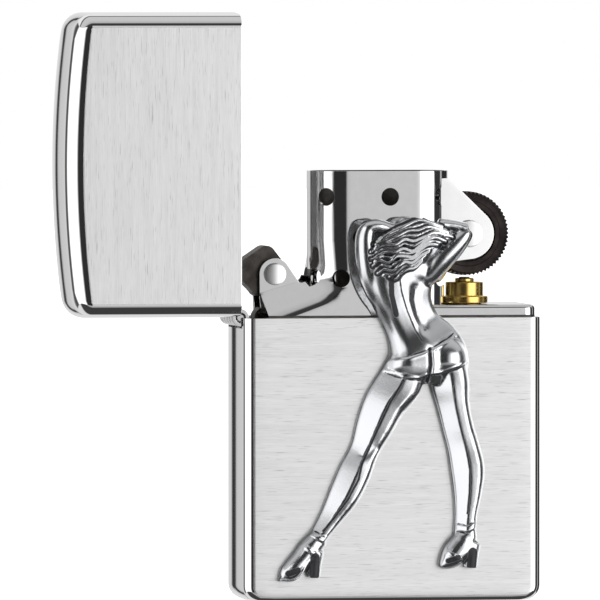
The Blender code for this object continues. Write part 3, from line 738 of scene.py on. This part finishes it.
def rivet_profile(pin_r, head_r, seat, rise, steps=8):
    """A pin with a domed head on each end; seat is the inner face of a head from the middle."""
    upper = [(pin_r, seat), (head_r - 0.06, seat), (head_r, seat + 0.06), (head_r, seat + 0.2)]
    upper += [(head_r - 0.03, seat + 0.27), (head_r - 0.1, seat + 0.3)]
    for step in range(1, steps + 1):
        share = 1 - step / steps
        upper.append(((head_r - 0.1) * share, seat + 0.3 + rise * (1 - share ** 2)))
    lower = [(radius, -height) for radius, height in reversed(upper)]
    return lower + upper


def build_rivets():
    steel = polished_steel("rivet_steel", 0.86, 0.30)
    for name, centre, pin_r, head_r, seat, rise in (
            ("cam_rivet", CAM, 0.5, 1.33, 2.6, 0.12), ("wheel_axle", WHEEL, 0.6, 1.65, 3.1, 0.08)):
        bm = bmesh.new()
        add_turned(bm, rivet_profile(pin_r, head_r, seat, rise), axis="Y", centre=centre)
        dress(new_object(name + "_turned", bm), steel, "polished_steel", "case", name)


def build_cam():
    lobes = [((-0.9, 2.3), 1.1, 40, 125), ((-3.9, 0.5), 0.9, 125, 215), ((-1.8, -1.95), 0.75, 200, 300),
             ((0.3, -0.4), 1.8, -80, 40)]
    outline = []
    for centre, radius, start, end in lobes:
        outline += arc((CAM.x + centre[0], CAM.z + centre[1]), radius, start, end, 12)
    bm = bmesh.new()
    add_prism(bm, outline, -1.8, 1.8)
    cam = new_object("cam_lever", bm)
    carve(cam, [lambda t: add_turned(t, [(0, -4), (0.7, -4), (0.7, 4), (0, 4)], axis="Y", centre=CAM)])
    soften(cam, 0.12)
    steel = dark_steel("cam_steel", (0.045, 0.038, 0.034), (0.10, 0.09, 0.082))
    dress(cam, steel, "dark_steel", "cam", "cam")


def build_wheel():
    """A wheel whose tread is cut by two opposed slanting sets of teeth, with a stepped face."""
    teeth, per_tooth = 62, 4
    steps = teeth * per_tooth
    half = WHEEL_HIGH.y
    radius = WHEEL_HIGH.x - WHEEL.x

    def ring(r, y, depth=0.0, lean=0.0):
        points = []
        for k in range(steps):
            turn = k + lean * per_tooth
            angle = 2 * math.pi * turn / steps
            tooth = (0.0, 0.35, 1.0, 0.65)[k % per_tooth]
            points.append((WHEEL.x + (r - depth * tooth) * math.cos(angle), WHEEL.y + y,
                           WHEEL.z + (r - depth * tooth) * math.sin(angle)))
        return points

    face = [(0.75, half - 0.5), (1.9, half - 0.5), (2.0, half - 0.25), (3.3, half - 0.25), (3.4, half),
            (3.9, half), (4.0, half - 0.12), (4.5, half - 0.12), (4.7, half - 0.1)]
    rings = [ring(r, -y) for r, y in face]
    across = 12
    for k in range(across + 1):
        y = (half - 0.3) * (2 * k / across - 1)
        lean = 0.9 * (1 - abs(2 * k / across - 1))
        groove = 0.25 * math.exp(-(y / 0.12) ** 2)
        rings.append(ring(radius - groove, y, 0.24, lean))
    rings += [ring(r, y) for r, y in reversed(face)]
    bm = bmesh.new()
    add_loft(bm, rings, ring_closed=True)
    wheel = new_object("wheel_knurled", bm, 30.0)
    dress(wheel, dark_steel("wheel_steel", (0.022, 0.017, 0.016), (0.055, 0.045, 0.042), 0.36),
          "wheel_steel", "wheel", "striker_wheel")


def build_flint_tube():
    collar_top = RIM + 4.1
    shoulder = RIM + 2.4
    seat = DECK_TOP + 0.06
    profile = [(1.3, TUBE_LOW.z), (1.9, TUBE_LOW.z), (1.9, seat), (2.85, seat), (2.85, shoulder),
               (2.28, shoulder), (2.28, collar_top), (1.15, collar_top), (1.15, TUBE_HIGH.z),
               (0.85, TUBE_HIGH.z), (0.85, collar_top - 1), (1.3, collar_top - 1), (1.3, TUBE_LOW.z + 0.5)]
    bm = bmesh.new()
    add_turned(bm, rounded_profile(profile, 0.12), steps=64, centre=(WHEEL.x, 0, 0))
    tube = new_object("flint_tube_turned", bm)
    dress(tube, brass("tube_brass"), "brass", "case", "flint_tube")


def build_flint_spring():
    """The coil under the flint, squashed as the flint is pressed down."""
    low, high = box_mm("flint_spring")
    turns, per_turn, sides, wire_r = 11, 24, 10, 0.17
    coil_r = (high.x - low.x) / 2 - wire_r
    count = turns * per_turn
    bm = bmesh.new()
    rings = []
    for k in range(count + 1):
        angle = 2 * math.pi * k / per_turn
        out = Vector((math.cos(angle), math.sin(angle), 0))
        height = low.z + wire_r + (high.z - low.z - 2 * wire_r) * k / count
        middle = Vector((WHEEL.x, 0, height)) + out * coil_r
        rings.append([middle + out * wire_r * math.cos(turn) + Vector((0, 0, wire_r * math.sin(turn)))
                      for turn in (2 * math.pi * (s + 0.5) / sides for s in range(sides))])
    add_loft(bm, rings)
    spring = new_object("flint_spring_coil", bm)
    dress(spring, polished_steel("spring_wire", 0.74, 0.16), "polished_steel", "case", "flint_spring",
          flats=False)
    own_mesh(spring)


def build_wick():
    """A braid: two opposed sets of strands wound round the wick, with a frayed top."""
    strands, turns = 5, 7
    radius = (WICK_HIGH.x - WICK_LOW.x) / 2
    centre_x = (WICK_HIGH.x + WICK_LOW.x) / 2
    steps, levels = 60, 150
    rings = []
    for level in range(levels + 1):
        share = level / levels
        z = WICK_LOW.z + (WICK_HIGH.z - WICK_LOW.z) * share
        ring = []
        for k in range(steps):
            angle = 2 * math.pi * k / steps
            wind = 2 * math.pi * turns * share
            weave = max(math.cos(strands * (angle + wind)), math.cos(strands * (angle - wind)))
            r = radius * (0.90 + 0.10 * weave) * (1 - 0.25 * smoothstep(0.985, 1.0, share))
            ring.append((centre_x + r * math.cos(angle), r * math.sin(angle), z))
        rings.append(ring)
    bm = bmesh.new()
    add_loft(bm, rings)
    wick = new_object("wick_braid", bm, None)
    cotton = fibre("wick_cotton", (0.88, 0.84, 0.75), (0.55, 0.50, 0.42))
    dress(wick, cotton, "wick", "case", "wick", flats=False)


ROLL_INNER = 0.62        # inside of a rolled knuckle
ROLL_END = 315           # how far round the sheet is rolled, in degrees
KNUCKLES, KNUCKLE_PITCH, KNUCKLE_LONG = 5, 1.9, 1.6


def knuckle_spans(first):
    starts = [-BARREL / 2 + k * KNUCKLE_PITCH for k in range(first, KNUCKLES, 2)]
    return [(start, start + KNUCKLE_LONG) for start in starts]


def build_hinge():
    """Rolled knuckles with a seam, each on its leaf; the pin has domed ends."""
    steel = polished_steel("hinge_steel", 0.80, 0.07)
    for name, first, body, side in (("hinge_leaf_case", 0, "case", -1), ("hinge_leaf_lid", 1, "lid", 1)):
        def place(x, z, side=side):
            """A point about the axis, with the leaf going down, or with it going into the lid."""
            return (HINGE.x + x, HINGE.z + z) if side < 0 else (HINGE.x + z, HINGE.z + x)
        parts = []
        bm = bmesh.new()
        outline = [place(0.6, -1.45), place(0.9, -1.45), place(0.9, -6.5), place(0.6, -6.5)]
        add_prism(bm, outline, -BARREL / 2, BARREL / 2)
        parts.append(soften(new_object("leaf", bm), 0.05))
        for low, high in knuckle_spans(first):
            outline = ([(ROLL_INNER, -1.5), (ROLL_INNER, 0.0)] + arc((0, 0), ROLL_INNER, 0, ROLL_END, 36)[1:]
                       + arc((0, 0), KNUCKLE_R, ROLL_END, 0, 44)
                       + [(KNUCKLE_R, -0.5), (0.92, -1.0), (0.92, -1.5)])
            bm = bmesh.new()
            add_prism(bm, [place(x, z) for x, z in outline], low, high)
            parts.append(soften(new_object("knuckle", bm), 0.05))
        dress(join(name + "_rolled", parts), steel, "polished_steel", body, name)


# ---- emblem

def spline(stations, per_span=6):
    """Smooth rows of numbers through given ones (Catmull-Rom)."""
    rows = [np.array(station, float) for station in stations]
    rows = [2 * rows[0] - rows[1]] + rows + [2 * rows[-1] - rows[-2]]
    result = []
    for a, b, c, d in zip(rows, rows[1:], rows[2:], rows[3:]):
        for step in range(per_span):
            t = step / per_span
            result.append(0.5 * (2 * b + (c - a) * t + (2 * a - 5 * b + 4 * c - d) * t ** 2
                                 + (3 * b - a - 3 * c + d) * t ** 3))
    result.append(rows[-2])
    return result


OFF_BACK = 0.3           # a limb's middle is usually this far off the figure's flat back
# The front of a ridged section, from its left edge to its right: a slope, a ridge and a flat.
LEG_ACROSS = (-1.0, -0.95, -0.05, 0.55, 0.8, 0.95, 1.0)
LEG_RISE = (0.0, 0.2, 1.0, 1.0, 0.8, 0.42, 0.0)


def add_limb(bm, stations, sides=20, per_span=6, ridged=False):
    """Skin elliptic or ridged sections; a station is x, z, half width, half depth, distance off
    the back."""
    rows = spline([(*station, OFF_BACK)[:5] for station in stations], per_span)
    rings = []
    for k, (x, z, half_width, half_depth, off) in enumerate(rows):
        before, after = rows[max(k - 1, 0)], rows[min(k + 1, len(rows) - 1)]
        along = Vector((after[0] - before[0], 0, after[1] - before[1])).normalized()
        across = Vector((along.z, 0, -along.x))
        ring = []
        for s in range(sides):
            angle = 2 * math.pi * (s + 0.5) / sides
            point = Vector((x, EMBLEM_HIGH.y - off, z)) + across * half_width * math.cos(angle)
            rise = math.sin(angle)
            if ridged and rise > 0:
                rise = float(np.interp(-math.cos(angle), LEG_ACROSS, LEG_RISE))
            point.y -= half_depth * rise
            ring.append(tuple(point))
        rings.append(ring)
    add_loft(bm, rings)


# Each station: x, z, half width, half depth, and the middle's distance off the back if not the usual one.
TORSO = [(4.1, 26.2, 3.4, 1.6, 0.4), (4.1, 27.6, 4.8, 2.3, 0.4), (4.0, 29.2, 5.1, 2.6, 0.4),
    (3.5, 30.9, 4.5, 2.4, 0.4), (2.5, 32.8, 3.5, 1.9), (1.6, 34.7, 3.35, 1.8),
    (0.9, 36.7, 3.8, 2.0), (0.6, 38.9, 4.4, 2.2), (1.1, 40.7, 5.2, 2.3),
    (1.9, 42.4, 5.2, 2.2), (2.4, 43.8, 4.2, 1.8)]
BUTTOCKS = [[(2.3, 31.6, 0.4, 0.4, 0.8), (2.0, 30.4, 1.8, 1.5, 0.8), (1.8, 28.9, 2.5, 2.0, 0.8),
    (1.6, 27.7, 2.1, 1.6, 0.8), (1.4, 26.8, 0.8, 0.7, 0.8)],
    [(5.7, 32.2, 0.4, 0.4, 0.8), (6.0, 30.9, 1.9, 1.6, 0.8), (6.3, 29.3, 2.5, 2.1, 0.8),
    (6.4, 28.0, 2.1, 1.7, 0.8), (6.5, 27.0, 0.8, 0.7, 0.8)]]
LEFT_LEG = [(2.1, 31.0, 0.5, 0.5, 0.4), (1.8, 29.8, 1.6, 1.3, 0.4), (1.3, 28.4, 2.3, 1.9, 0.4),
    (0.6, 26.3, 2.75, 2.2, 0.4), (-1.1, 23.9, 2.55, 2.1),
    (-2.4, 21.1, 2.25, 1.9), (-3.6, 18.3, 1.75, 1.6), (-4.8, 15.6, 1.95, 1.8),
    (-6.1, 12.9, 1.85, 1.8), (-7.7, 10.3, 1.35, 1.4), (-9.1, 8.2, 1.05, 1.2),
    (-9.7, 7.3, 1.05, 1.2)]
LEFT_FOOT = [(-9.2, 7.7, 1.2, 1.2), (-10.2, 6.6, 1.35, 1.4), (-11.3, 5.2, 1.3, 1.4, 0.2),
    (-12.3, 4.1, 1.25, 1.3, 0.2), (-13.2, 3.45, 0.95, 1.0, 0.2), (-13.8, 3.1, 0.45, 0.7, 0.2)]
LEFT_SOLE = [(-14.1, 2.75, 0.2, 0.8), (-12.6, 2.75, 0.28, 1.2), (-11.6, 3.4, 0.24, 1.2),
    (-10.7, 4.8, 0.24, 1.2), (-9.3, 5.8, 0.3, 1.2)]
LEFT_HEEL = [(-9.6, 6.1, 1.0, 1.3), (-9.8, 4.6, 0.9, 1.1), (-9.9, 2.95, 0.78, 1.0)]
RIGHT_LEG = [(6.2, 31.0, 0.5, 0.5, 0.4), (6.3, 29.8, 1.5, 1.3, 0.4), (6.5, 28.4, 2.2, 1.9, 0.4),
    (6.8, 26.2, 2.35, 2.1, 0.4), (7.2, 23.7, 2.0, 1.9),
    (7.8, 21.0, 1.9, 1.8), (8.5, 18.5, 1.95, 1.7), (9.0, 15.9, 2.05, 1.9),
    (9.0, 13.1, 1.7, 1.7), (8.8, 10.6, 1.35, 1.4), (8.7, 8.8, 1.3, 1.3),
    (8.7, 7.6, 1.4, 1.3)]
RIGHT_FOOT = [(8.8, 7.9, 1.4, 1.3), (8.4, 6.8, 1.7, 1.5), (7.4, 5.7, 1.6, 1.5),
    (6.6, 4.9, 1.2, 1.3), (6.0, 4.4, 0.7, 1.0), (5.7, 4.15, 0.35, 0.7)]
RIGHT_HEEL = [(9.5, 7.0, 1.1, 1.3), (9.4, 5.6, 0.95, 1.1), (9.3, 4.0, 0.85, 1.0)]
LEFT_ARM = [(-0.7, 34.6, 0.3, 0.5), (-1.1, 35.4, 0.9, 1.1), (-2.2, 37.0, 1.2, 1.3, 0.4),
    (-3.0, 39.2, 1.4, 1.5, 0.5), (-3.5, 41.6, 1.35, 1.6, 0.6), (-3.6, 43.6, 1.3, 1.6, 0.6),
    (-3.4, 44.9, 1.1, 1.4, 0.6), (-3.2, 45.7, 0.6, 0.8, 0.6), (-3.1, 46.0, 0.2, 0.3, 0.6)]
LEFT_FOREARM = [(-4.4, 44.8, 0.25, 0.5, 0.9), (-3.7, 45.0, 0.8, 1.2, 0.9), (-2.3, 45.3, 0.85, 1.3, 0.9),
    (-0.8, 44.9, 0.8, 1.2, 0.9),
    (0.6, 44.5, 0.7, 1.1, 0.9)]
RIGHT_ARM = [(3.2, 37.8, 0.3, 0.4, 0.4), (3.8, 38.7, 1.0, 1.1, 0.4), (4.5, 39.7, 1.4, 1.5, 0.4),
    (5.6, 41.2, 1.6, 1.7, 0.6), (7.2, 42.8, 1.4, 1.7, 0.7),
    (8.4, 44.1, 1.1, 1.5, 0.8), (8.9, 44.8, 0.8, 1.2, 0.8)]
RIGHT_FOREARM = [(8.8, 44.9, 0.75, 1.2, 0.8), (7.0, 45.3, 0.7, 1.1, 0.9), (5.2, 45.5, 0.7, 1.1, 0.9)]
SKULL = [(3.2, 46.0, 0.9, 1.0, 1.0), (2.9, 45.2, 2.6, 1.9, 1.0), (2.3, 43.6, 3.2, 2.1, 1.0),
    (1.4, 41.9, 2.6, 1.8, 1.0), (0.6, 40.4, 1.5, 1.1, 1.0)]


# Wavy locks of hair, each from the crown down to its end, as x and z.
LOCKS = [
    [(5.5, 45.2), (4.0, 45.7), (2.7, 46.0), (1.4, 45.6), (0.1, 45.0), (-1.2, 44.4), (-2.2, 43.7)],
    [(6.3, 44.5), (5.0, 44.9), (3.7, 45.2), (2.4, 44.8), (1.1, 44.7), (-0.2, 44.1), (-1.6, 43.5),
    (-2.9, 43.1)],
    [(6.8, 43.9), (5.5, 44.3), (4.2, 44.5), (2.9, 43.9), (1.8, 43.5), (0.7, 43.7), (-0.4, 43.1),
    (-1.9, 43.0),
     (-3.2, 42.2)],
    [(5.9, 43.4), (4.6, 43.9), (3.6, 43.7), (2.7, 43.0), (1.7, 42.3), (0.6, 42.6), (-0.5, 42.2),
    (-1.8, 42.1),
     (-3.2, 41.3)],
    [(4.9, 43.0), (3.7, 43.1), (2.6, 42.4), (1.8, 41.6), (0.7, 41.7), (-0.3, 41.6), (-1.2, 40.9),
    (-2.3, 41.2),
     (-3.0, 40.5)],
    [(3.8, 42.3), (2.7, 41.7), (1.7, 40.9), (0.8, 41.0), (0.0, 40.5), (-0.7, 39.9), (-1.7, 40.1),
    (-2.4, 39.6)],
    [(2.9, 41.2), (2.0, 40.3), (1.1, 40.1), (0.4, 39.7), (-0.3, 38.9), (-1.1, 39.2)]]


def hair_locks():
    """The locks, and a thinner one between each two of them, as limb stations."""
    paths = []
    for lock in LOCKS:
        path = np.array(spline(lock, 8))
        share = np.linspace(0, len(path) - 1, 48)
        paths.append([np.array([np.interp(s, range(len(path)), path[:, axis]) for axis in (0, 1)])
                      for s in share])
    between = [[(a + b) / 2 for a, b in zip(first, second)] for first, second in zip(paths, paths[1:])]
    locks = []
    for group, width in ((paths, 0.23), (between, 0.15)):
        for path in group:
            stations = []
            for k, (x, z) in enumerate(path):
                dome = 1 - ((x - 1.8) / 7.5) ** 2 - ((z - 42.5) / 7.0) ** 2
                taper = width * (1 - 0.5 * (k / 47) ** 3)
                stations.append((x, z, taper, taper * 1.7, 1.9 + 1.2 * max(dome, 0.0)))
            locks.append(stations)
    return locks


def distance_to_path(points, path):
    """Distance of each (x, z) point to a polyline."""
    best = np.full(len(points), 1e9)
    for a, b in zip(path, path[1:]):
        a, b = np.array(a), np.array(b)
        along = b - a
        share = np.clip(((points - a) @ along) / (along @ along + 1e-9), 0, 1)
        best = np.minimum(best, np.linalg.norm(points - (a + share[:, None] * along), axis=1))
    return best


def smooth_points(points, edges, rounds):
    """Average each vertex with its neighbours."""
    first, second = edges[:, 0], edges[:, 1]
    count = np.bincount(np.concatenate([first, second]), minlength=len(points))[:, None]
    for _ in range(rounds):
        total = np.zeros_like(points)
        np.add.at(total, first, points[second])
        np.add.at(total, second, points[first])
        points = 0.5 * points + 0.5 * total / count
    return points


GROOVES = [  # path of (x, z) points, width, depth
    ([(2.4, 37.8), (2.2, 36.4), (2.6, 34.6), (3.4, 32.8)], 0.5, 0.18),
    ([(3.9, 30.4), (4.0, 28.6), (3.8, 26.7)], 0.22, 0.42),
    ([(3.6, 26.8), (4.0, 25.6)], 0.3, 0.3),
    ([(-2.6, 18.6), (-3.3, 18.0), (-4.0, 17.6)], 0.5, 0.12)]
# Painted dark reflection lines where two faces of a leg or of the torso meet: path of (x, z) points, half
# width.
PAINTED_REFLECTION_LINES = [
    ([(0.2, 39.4), (0.5, 37.4), (1.2, 35.2), (2.2, 32.8), (3.0, 31.4)], 0.12),
    ([(0.5, 26.4), (-0.9, 24.0), (-2.4, 20.8), (-3.6, 18.0), (-4.3, 16.6), (-4.7, 14.8), (-6.0, 12.4),
      (-7.6, 10.2), (-8.9, 8.6)], 0.16),
    ([(6.9, 26.0), (7.2, 23.7), (7.8, 21.0), (8.5, 18.5), (8.9, 15.9), (8.9, 13.1), (8.7, 10.6)], 0.12)]
# Painted shade, as between the left arm and the torso, drawn as darkened strokes.
PAINTED_SHADE_STROKES = [  # darkened strokes: path, half width
    ([(-9.9, 5.4), (-9.9, 3.3)], 0.6),
    ([(9.4, 5.9), (9.3, 4.3)], 0.6),
    ([(-13.1, 3.5), (-12.0, 3.9)], 0.4),
    ([(6.4, 4.9), (7.6, 5.3)], 0.35),
    ([(-0.8, 38.9), (-0.7, 37.0), (-0.1, 34.6)], 0.35)]
STRAPS = [  # raised bands: path, half width, height
    ([(-10.2, 8.3), (-9.0, 7.6), (-8.0, 7.5)], 0.32, 0.16),
    ([(7.5, 8.9), (8.7, 8.7), (10.2, 9.4)], 0.34, 0.16),
    ([(-10.9, 6.6), (-9.9, 5.7)], 0.24, 0.12),
    ([(6.4, 5.9), (7.9, 4.9)], 0.24, 0.12)]
WAISTBAND = [(-1.4, 29.1), (1.2, 29.5), (4.0, 30.4), (6.6, 31.8), (7.2, 32.3)]
HEM_LEFT = [(-1.8, 27.9), (0.6, 27.0), (2.6, 26.8), (3.9, 27.3)]
HEM_RIGHT = [(3.9, 27.3), (5.2, 27.4), (7.4, 28.2), (9.6, 29.2)]


def height_on(path, x):
    return np.interp(x, [point[0] for point in path], [point[1] for point in path])


def sculpt(points):
    """Press grooves, straps and the cloth's edges into the front of the figure, along Y."""
    plan = points[:, [0, 2]]
    push = np.zeros(len(points))
    for path, width, depth in GROOVES:
        push += depth * np.exp(-(distance_to_path(plan, path) / width) ** 2)
    for path, half, rise in STRAPS:
        near = np.clip((half - distance_to_path(plan, path)) / 0.12 + 0.5, 0, 1)
        push -= rise * near
    top = height_on(WAISTBAND, plan[:, 0])
    hem = height_on(HEM_LEFT + HEM_RIGHT[1:], plan[:, 0])
    cloth = (np.clip((top - plan[:, 1]) / 0.12 + 0.5, 0, 1)
             * np.clip((plan[:, 1] - hem) / 0.12 + 0.5, 0, 1))
    push -= 0.12 * cloth
    rim = np.exp(-((plan[:, 1] - top + 0.25) / 0.16) ** 2) + np.exp(-((plan[:, 1] - hem - 0.22) / 0.14) ** 2)
    push -= 0.07 * rim * cloth
    return push


VOXEL, QUICK_VOXEL = 0.13, 0.2
BARE_FROM = 26.0         # above this height the skin between the hair's locks is smoothed further


def cast_figure(locks):
    """All the limbs and locks as one closed body with a flat back."""
    bm = bmesh.new()
    for stations in ([LEFT_FOOT, LEFT_SOLE, LEFT_HEEL, RIGHT_FOOT, RIGHT_HEEL, LEFT_ARM, LEFT_FOREARM,
                      RIGHT_ARM, RIGHT_FOREARM, SKULL] + BUTTOCKS):
        add_limb(bm, stations)
    for stations in (TORSO, LEFT_LEG, RIGHT_LEG):
        add_limb(bm, stations, sides=40, ridged=True)
    for lock in locks:
        add_limb(bm, lock, sides=8, per_span=1)
    emblem = new_object("figure_cast", bm, None)
    remesh = emblem.modifiers.new("cast", "REMESH")
    remesh.mode = "VOXEL"
    remesh.voxel_size = VOXEL * MM
    settle(emblem, None)
    back = EMBLEM_HIGH.y
    return carve(emblem, [lambda t: add_box(t, (-30, back, -10), (30, back + 10, 70))], smooth_angle=None)


def read_rows(items, key, width, kind=float):
    values = np.zeros(len(items) * width, kind)
    items.foreach_get(key, values)
    return values.reshape(-1, width)


def lock_distances(plan, locks):
    return [distance_to_path(plan, [station[:2] for station in lock]) for lock in locks]


def shape_surface(points, edges, flat_back, locks):
    """Smooth the cast, the bare skin most, and press the relief into its front."""
    back = EMBLEM_HIGH.y
    soft = smooth_points(points, edges, 2)
    to_hair = np.min(lock_distances(points[:, [0, 2]], locks), axis=0)
    bare = (np.clip((points[:, 2] - BARE_FROM) / 1.5, 0, 1) * np.clip((to_hair - 0.3) / 0.4, 0, 1))[:, None]
    soft = soft * (1 - bare) + smooth_points(soft, edges, 14) * bare
    soft[flat_back] = points[flat_back]
    points = soft
    share = np.clip((back - points[:, 1]) / 0.6, 0, 1)
    points[:, 1] += sculpt(points) * share
    points[:, 1] = np.clip(points[:, 1], EMBLEM_LOW.y + 0.02, back)
    points[flat_back & (points[:, 2] < RIM - 0.6), 1] = -HALF_D - 0.02
    return points


def patina_and_painted_shade(points, normals, edges, flat_back, locks):
    """Where the finish stays dark: the patina in the hollows and between the locks, and painted light:
    painted shade in the strokes, painted dark reflection lines where faces meet, and a painted shadow along
    the outline.
    """
    back = EMBLEM_HIGH.y
    patina_and_shade = np.zeros(len(points))
    for rounds, reach in ((12, 0.05), (60, 0.16)):
        away = smooth_points(points, edges, rounds) - points
        patina_and_shade = np.maximum(patina_and_shade, np.einsum("ij,ij->i", away, normals) / reach)
    plan = points[:, [0, 2]]
    to_lock = lock_distances(plan, locks)
    to_main = np.min(to_lock[:len(LOCKS)], axis=0)
    to_any = np.minimum(to_main - 0.06, np.min(to_lock[len(LOCKS):], axis=0))
    hair = np.clip((0.5 - to_main) / 0.15, 0, 1) * np.clip((back - points[:, 1] - 1.0) / 0.3, 0, 1)
    patina_and_shade = np.maximum(patina_and_shade, hair * np.clip((to_any - 0.04) / 0.1, 0, 1))
    for path, half in PAINTED_SHADE_STROKES + PAINTED_REFLECTION_LINES:
        patina_and_shade = np.maximum(patina_and_shade, 0.8 * np.clip((half - distance_to_path(plan, path)) / 0.15 + 0.5, 0, 1))
    # A painted shadow along the outline, just off the flat back where the emblem meets the case.
    painted_outline_shadow = np.clip(1 - np.abs(back - points[:, 1] - 0.18) / 0.2, 0, 1)
    patina_and_shade = np.clip(np.maximum(patina_and_shade, painted_outline_shadow), 0, 1)
    patina_and_shade[flat_back] = 0.3
    return patina_and_shade


def build_emblem():
    locks = hair_locks()
    emblem = cast_figure(locks)
    mesh = emblem.data
    points = read_rows(mesh.vertices, "co", 3) / MM
    edges = read_rows(mesh.edges, "vertices", 2, int)
    flat_back = points[:, 1] > EMBLEM_HIGH.y - 0.02
    points = shape_surface(points, edges, flat_back, locks)
    mesh.vertices.foreach_set("co", (points * MM).ravel())
    mesh.update()
    # The attribute holds the patina of the hollows and painted shade: shadow strokes, dark reflection lines
    # and a shadow along the outline.
    patina_and_shade = patina_and_painted_shade(points, read_rows(mesh.vertices, "normal", 3), edges, flat_back, locks)
    mesh.attributes.new("patina_and_shade", "FLOAT", "POINT").data.foreach_set("value", patina_and_shade.astype(np.float32))
    mesh.shade_smooth()
    dress(emblem, antique_chrome("emblem_chrome"), "antique_chrome", "case", "figure_emblem", flats=False)


# ---- carried-over CAD nodes

def finish_cad_nodes():
    """Better materials for the CAD nodes that stay as they are, all of them inside or small."""
    steel = polished_steel("inner_steel", 0.74, 0.16)
    dark = dark_steel("spring_steel", (0.05, 0.045, 0.04), (0.12, 0.11, 0.10))
    metal = brass("inner_brass")
    cotton = fibre("cotton_white", (0.93, 0.92, 0.89), (0.72, 0.70, 0.66), 2500.0)
    felt = fibre("felt_grey", (0.76, 0.75, 0.71), (0.50, 0.49, 0.46), 5000.0)
    stone = dark_steel("flint_grey", (0.12, 0.115, 0.11), (0.25, 0.24, 0.23), 0.6)
    looks = {"hinge_pin": steel, "insert_shell": steel, "cam_spring": dark,
             "flint": stone, "flint_pusher": metal, "flint_screw": metal, "felt_pad": felt}
    looks.update({f"cotton_{k}": cotton for k in range(1, 5)})
    for name, mat in looks.items():
        node = frame["nodes"][name]
        node.data.materials.clear()
        node.data.materials.append(mat)


# ---- studio

VIEW_YAW = math.radians(10.0)
VIEW_LIFT = math.radians(1.6)
VIEW_DISTANCE = 1600.0
VIEW_WIDTH = 72.551                # how much the frame takes in at the case
VIEW_ASIDE, VIEW_ABOVE = -10.133, 1.935    # the frame's middle, from the middle of the case's rim
SENSOR = 36.0


def build_camera():
    """A long lens from slightly left of the front and slightly above the rim."""
    data = bpy.data.cameras.new("camera")
    camera = bpy.data.objects.new("camera", data)
    bpy.context.scene.collection.objects.link(camera)
    bpy.context.scene.camera = camera
    back = Vector((-math.sin(VIEW_YAW) * math.cos(VIEW_LIFT), -math.cos(VIEW_YAW) * math.cos(VIEW_LIFT),
                   math.sin(VIEW_LIFT)))
    right = Vector((math.cos(VIEW_YAW), -math.sin(VIEW_YAW), 0))
    target = Vector((0, 0, RIM + VIEW_ABOVE)) + right * VIEW_ASIDE
    camera.location = (target + back * VIEW_DISTANCE) * MM
    camera.rotation_mode = "QUATERNION"
    camera.rotation_quaternion = (-back).to_track_quat("-Z", "Y")
    data.sensor_width = SENSOR
    data.lens = SENSOR * VIEW_DISTANCE / VIEW_WIDTH
    data.clip_start, data.clip_end = 0.05, 50.0


# Brightness of the studio near the horizon: degrees from straight in front, + to the right.
AROUND = [(-180, 0.75), (-174, 0.66), (-171.5, 0.03), (-169, 0.03), (-167, 0.6), (-144, 0.75), (-136, 0.12),
    (-119, 0.06), (-113, 0.7), (-107, 1.4), (-46, 1.4), (-39, 0.5), (-35, 0.03), (3, 0.03),
    (8, 0.6), (12, 0.7), (18, 2.0), (60, 2.0), (66, 0.04), (91, 0.04), (94, 0.6), (98, 0.6), (102, 0.03),
    (138, 0.03), (146, 0.9),
    (180, 0.75)]
# Brightness above and below it: degrees up from straight in front, over the top to the back.
OVER = [(-180, 0.75), (-125, 0.8), (-112, 0.75), (-104, 0.05), (-42, 0.05), (-34, 0.5), (-20, 0.45),
    (20, 0.04), (44, 0.05), (52, 0.5), (72, 0.62), (112, 0.62), (118, 0.04), (123, 0.04), (127, 0.95),
    (180, 0.8)]
HORIZON = (0.43, 0.47)     # sines of the heights between which the first gives way to the second


def build_world():
    """White for the camera; soft boxes and black flags round the object for its reflections."""
    world = bpy.data.worlds.new("studio")
    bpy.context.scene.world = world
    n = Nodes("studio", world)
    x, y, z = n.split(n.node("ShaderNodeTexCoord").outputs["Generated"])
    ahead = n.math("MULTIPLY", y, -1.0)
    around, above = [n.ramp(n.math("ADD", n.math("DIVIDE", n.math("ARCTAN2", side, ahead), 2 * math.pi), 0.5),
                            stops) for side, stops in ((x, AROUND), (z, OVER))]
    share = n.map(n.math("ABSOLUTE", z), *HORIZON, kind="SMOOTHSTEP")
    seen = n.node("ShaderNodeLightPath").outputs["Is Camera Ray"]
    n.put(n.shader.inputs["Color"], n.mix(seen, n.mix(share, around, above), grey(1.0)))


def build_floor():
    bm = bmesh.new()
    bmesh.ops.create_grid(bm, x_segments=1, y_segments=1, size=2500.0)
    floor = new_object("floor", bm)
    floor.visible_glossy = False      # the polished faces show the studio, not the floor
    n = Nodes("floor_pale")
    n.set(Base_Color=(0.9, 0.9, 0.9, 1.0), Roughness=0.8, Emission_Color=(1.0, 1.0, 1.0, 1.0),
          Emission_Strength=0.8)
    floor.data.materials.append(n.material)


build_camera()
build_world()
build_floor()
build_case()
build_lid()
build_hinge()
build_insert_top()
build_rivets()
build_cam()
build_wheel()
build_flint_tube()
build_flint_spring()
build_wick()
build_emblem()
finish_cad_nodes()
bpy.context.scene.view_settings.view_transform = "Standard"
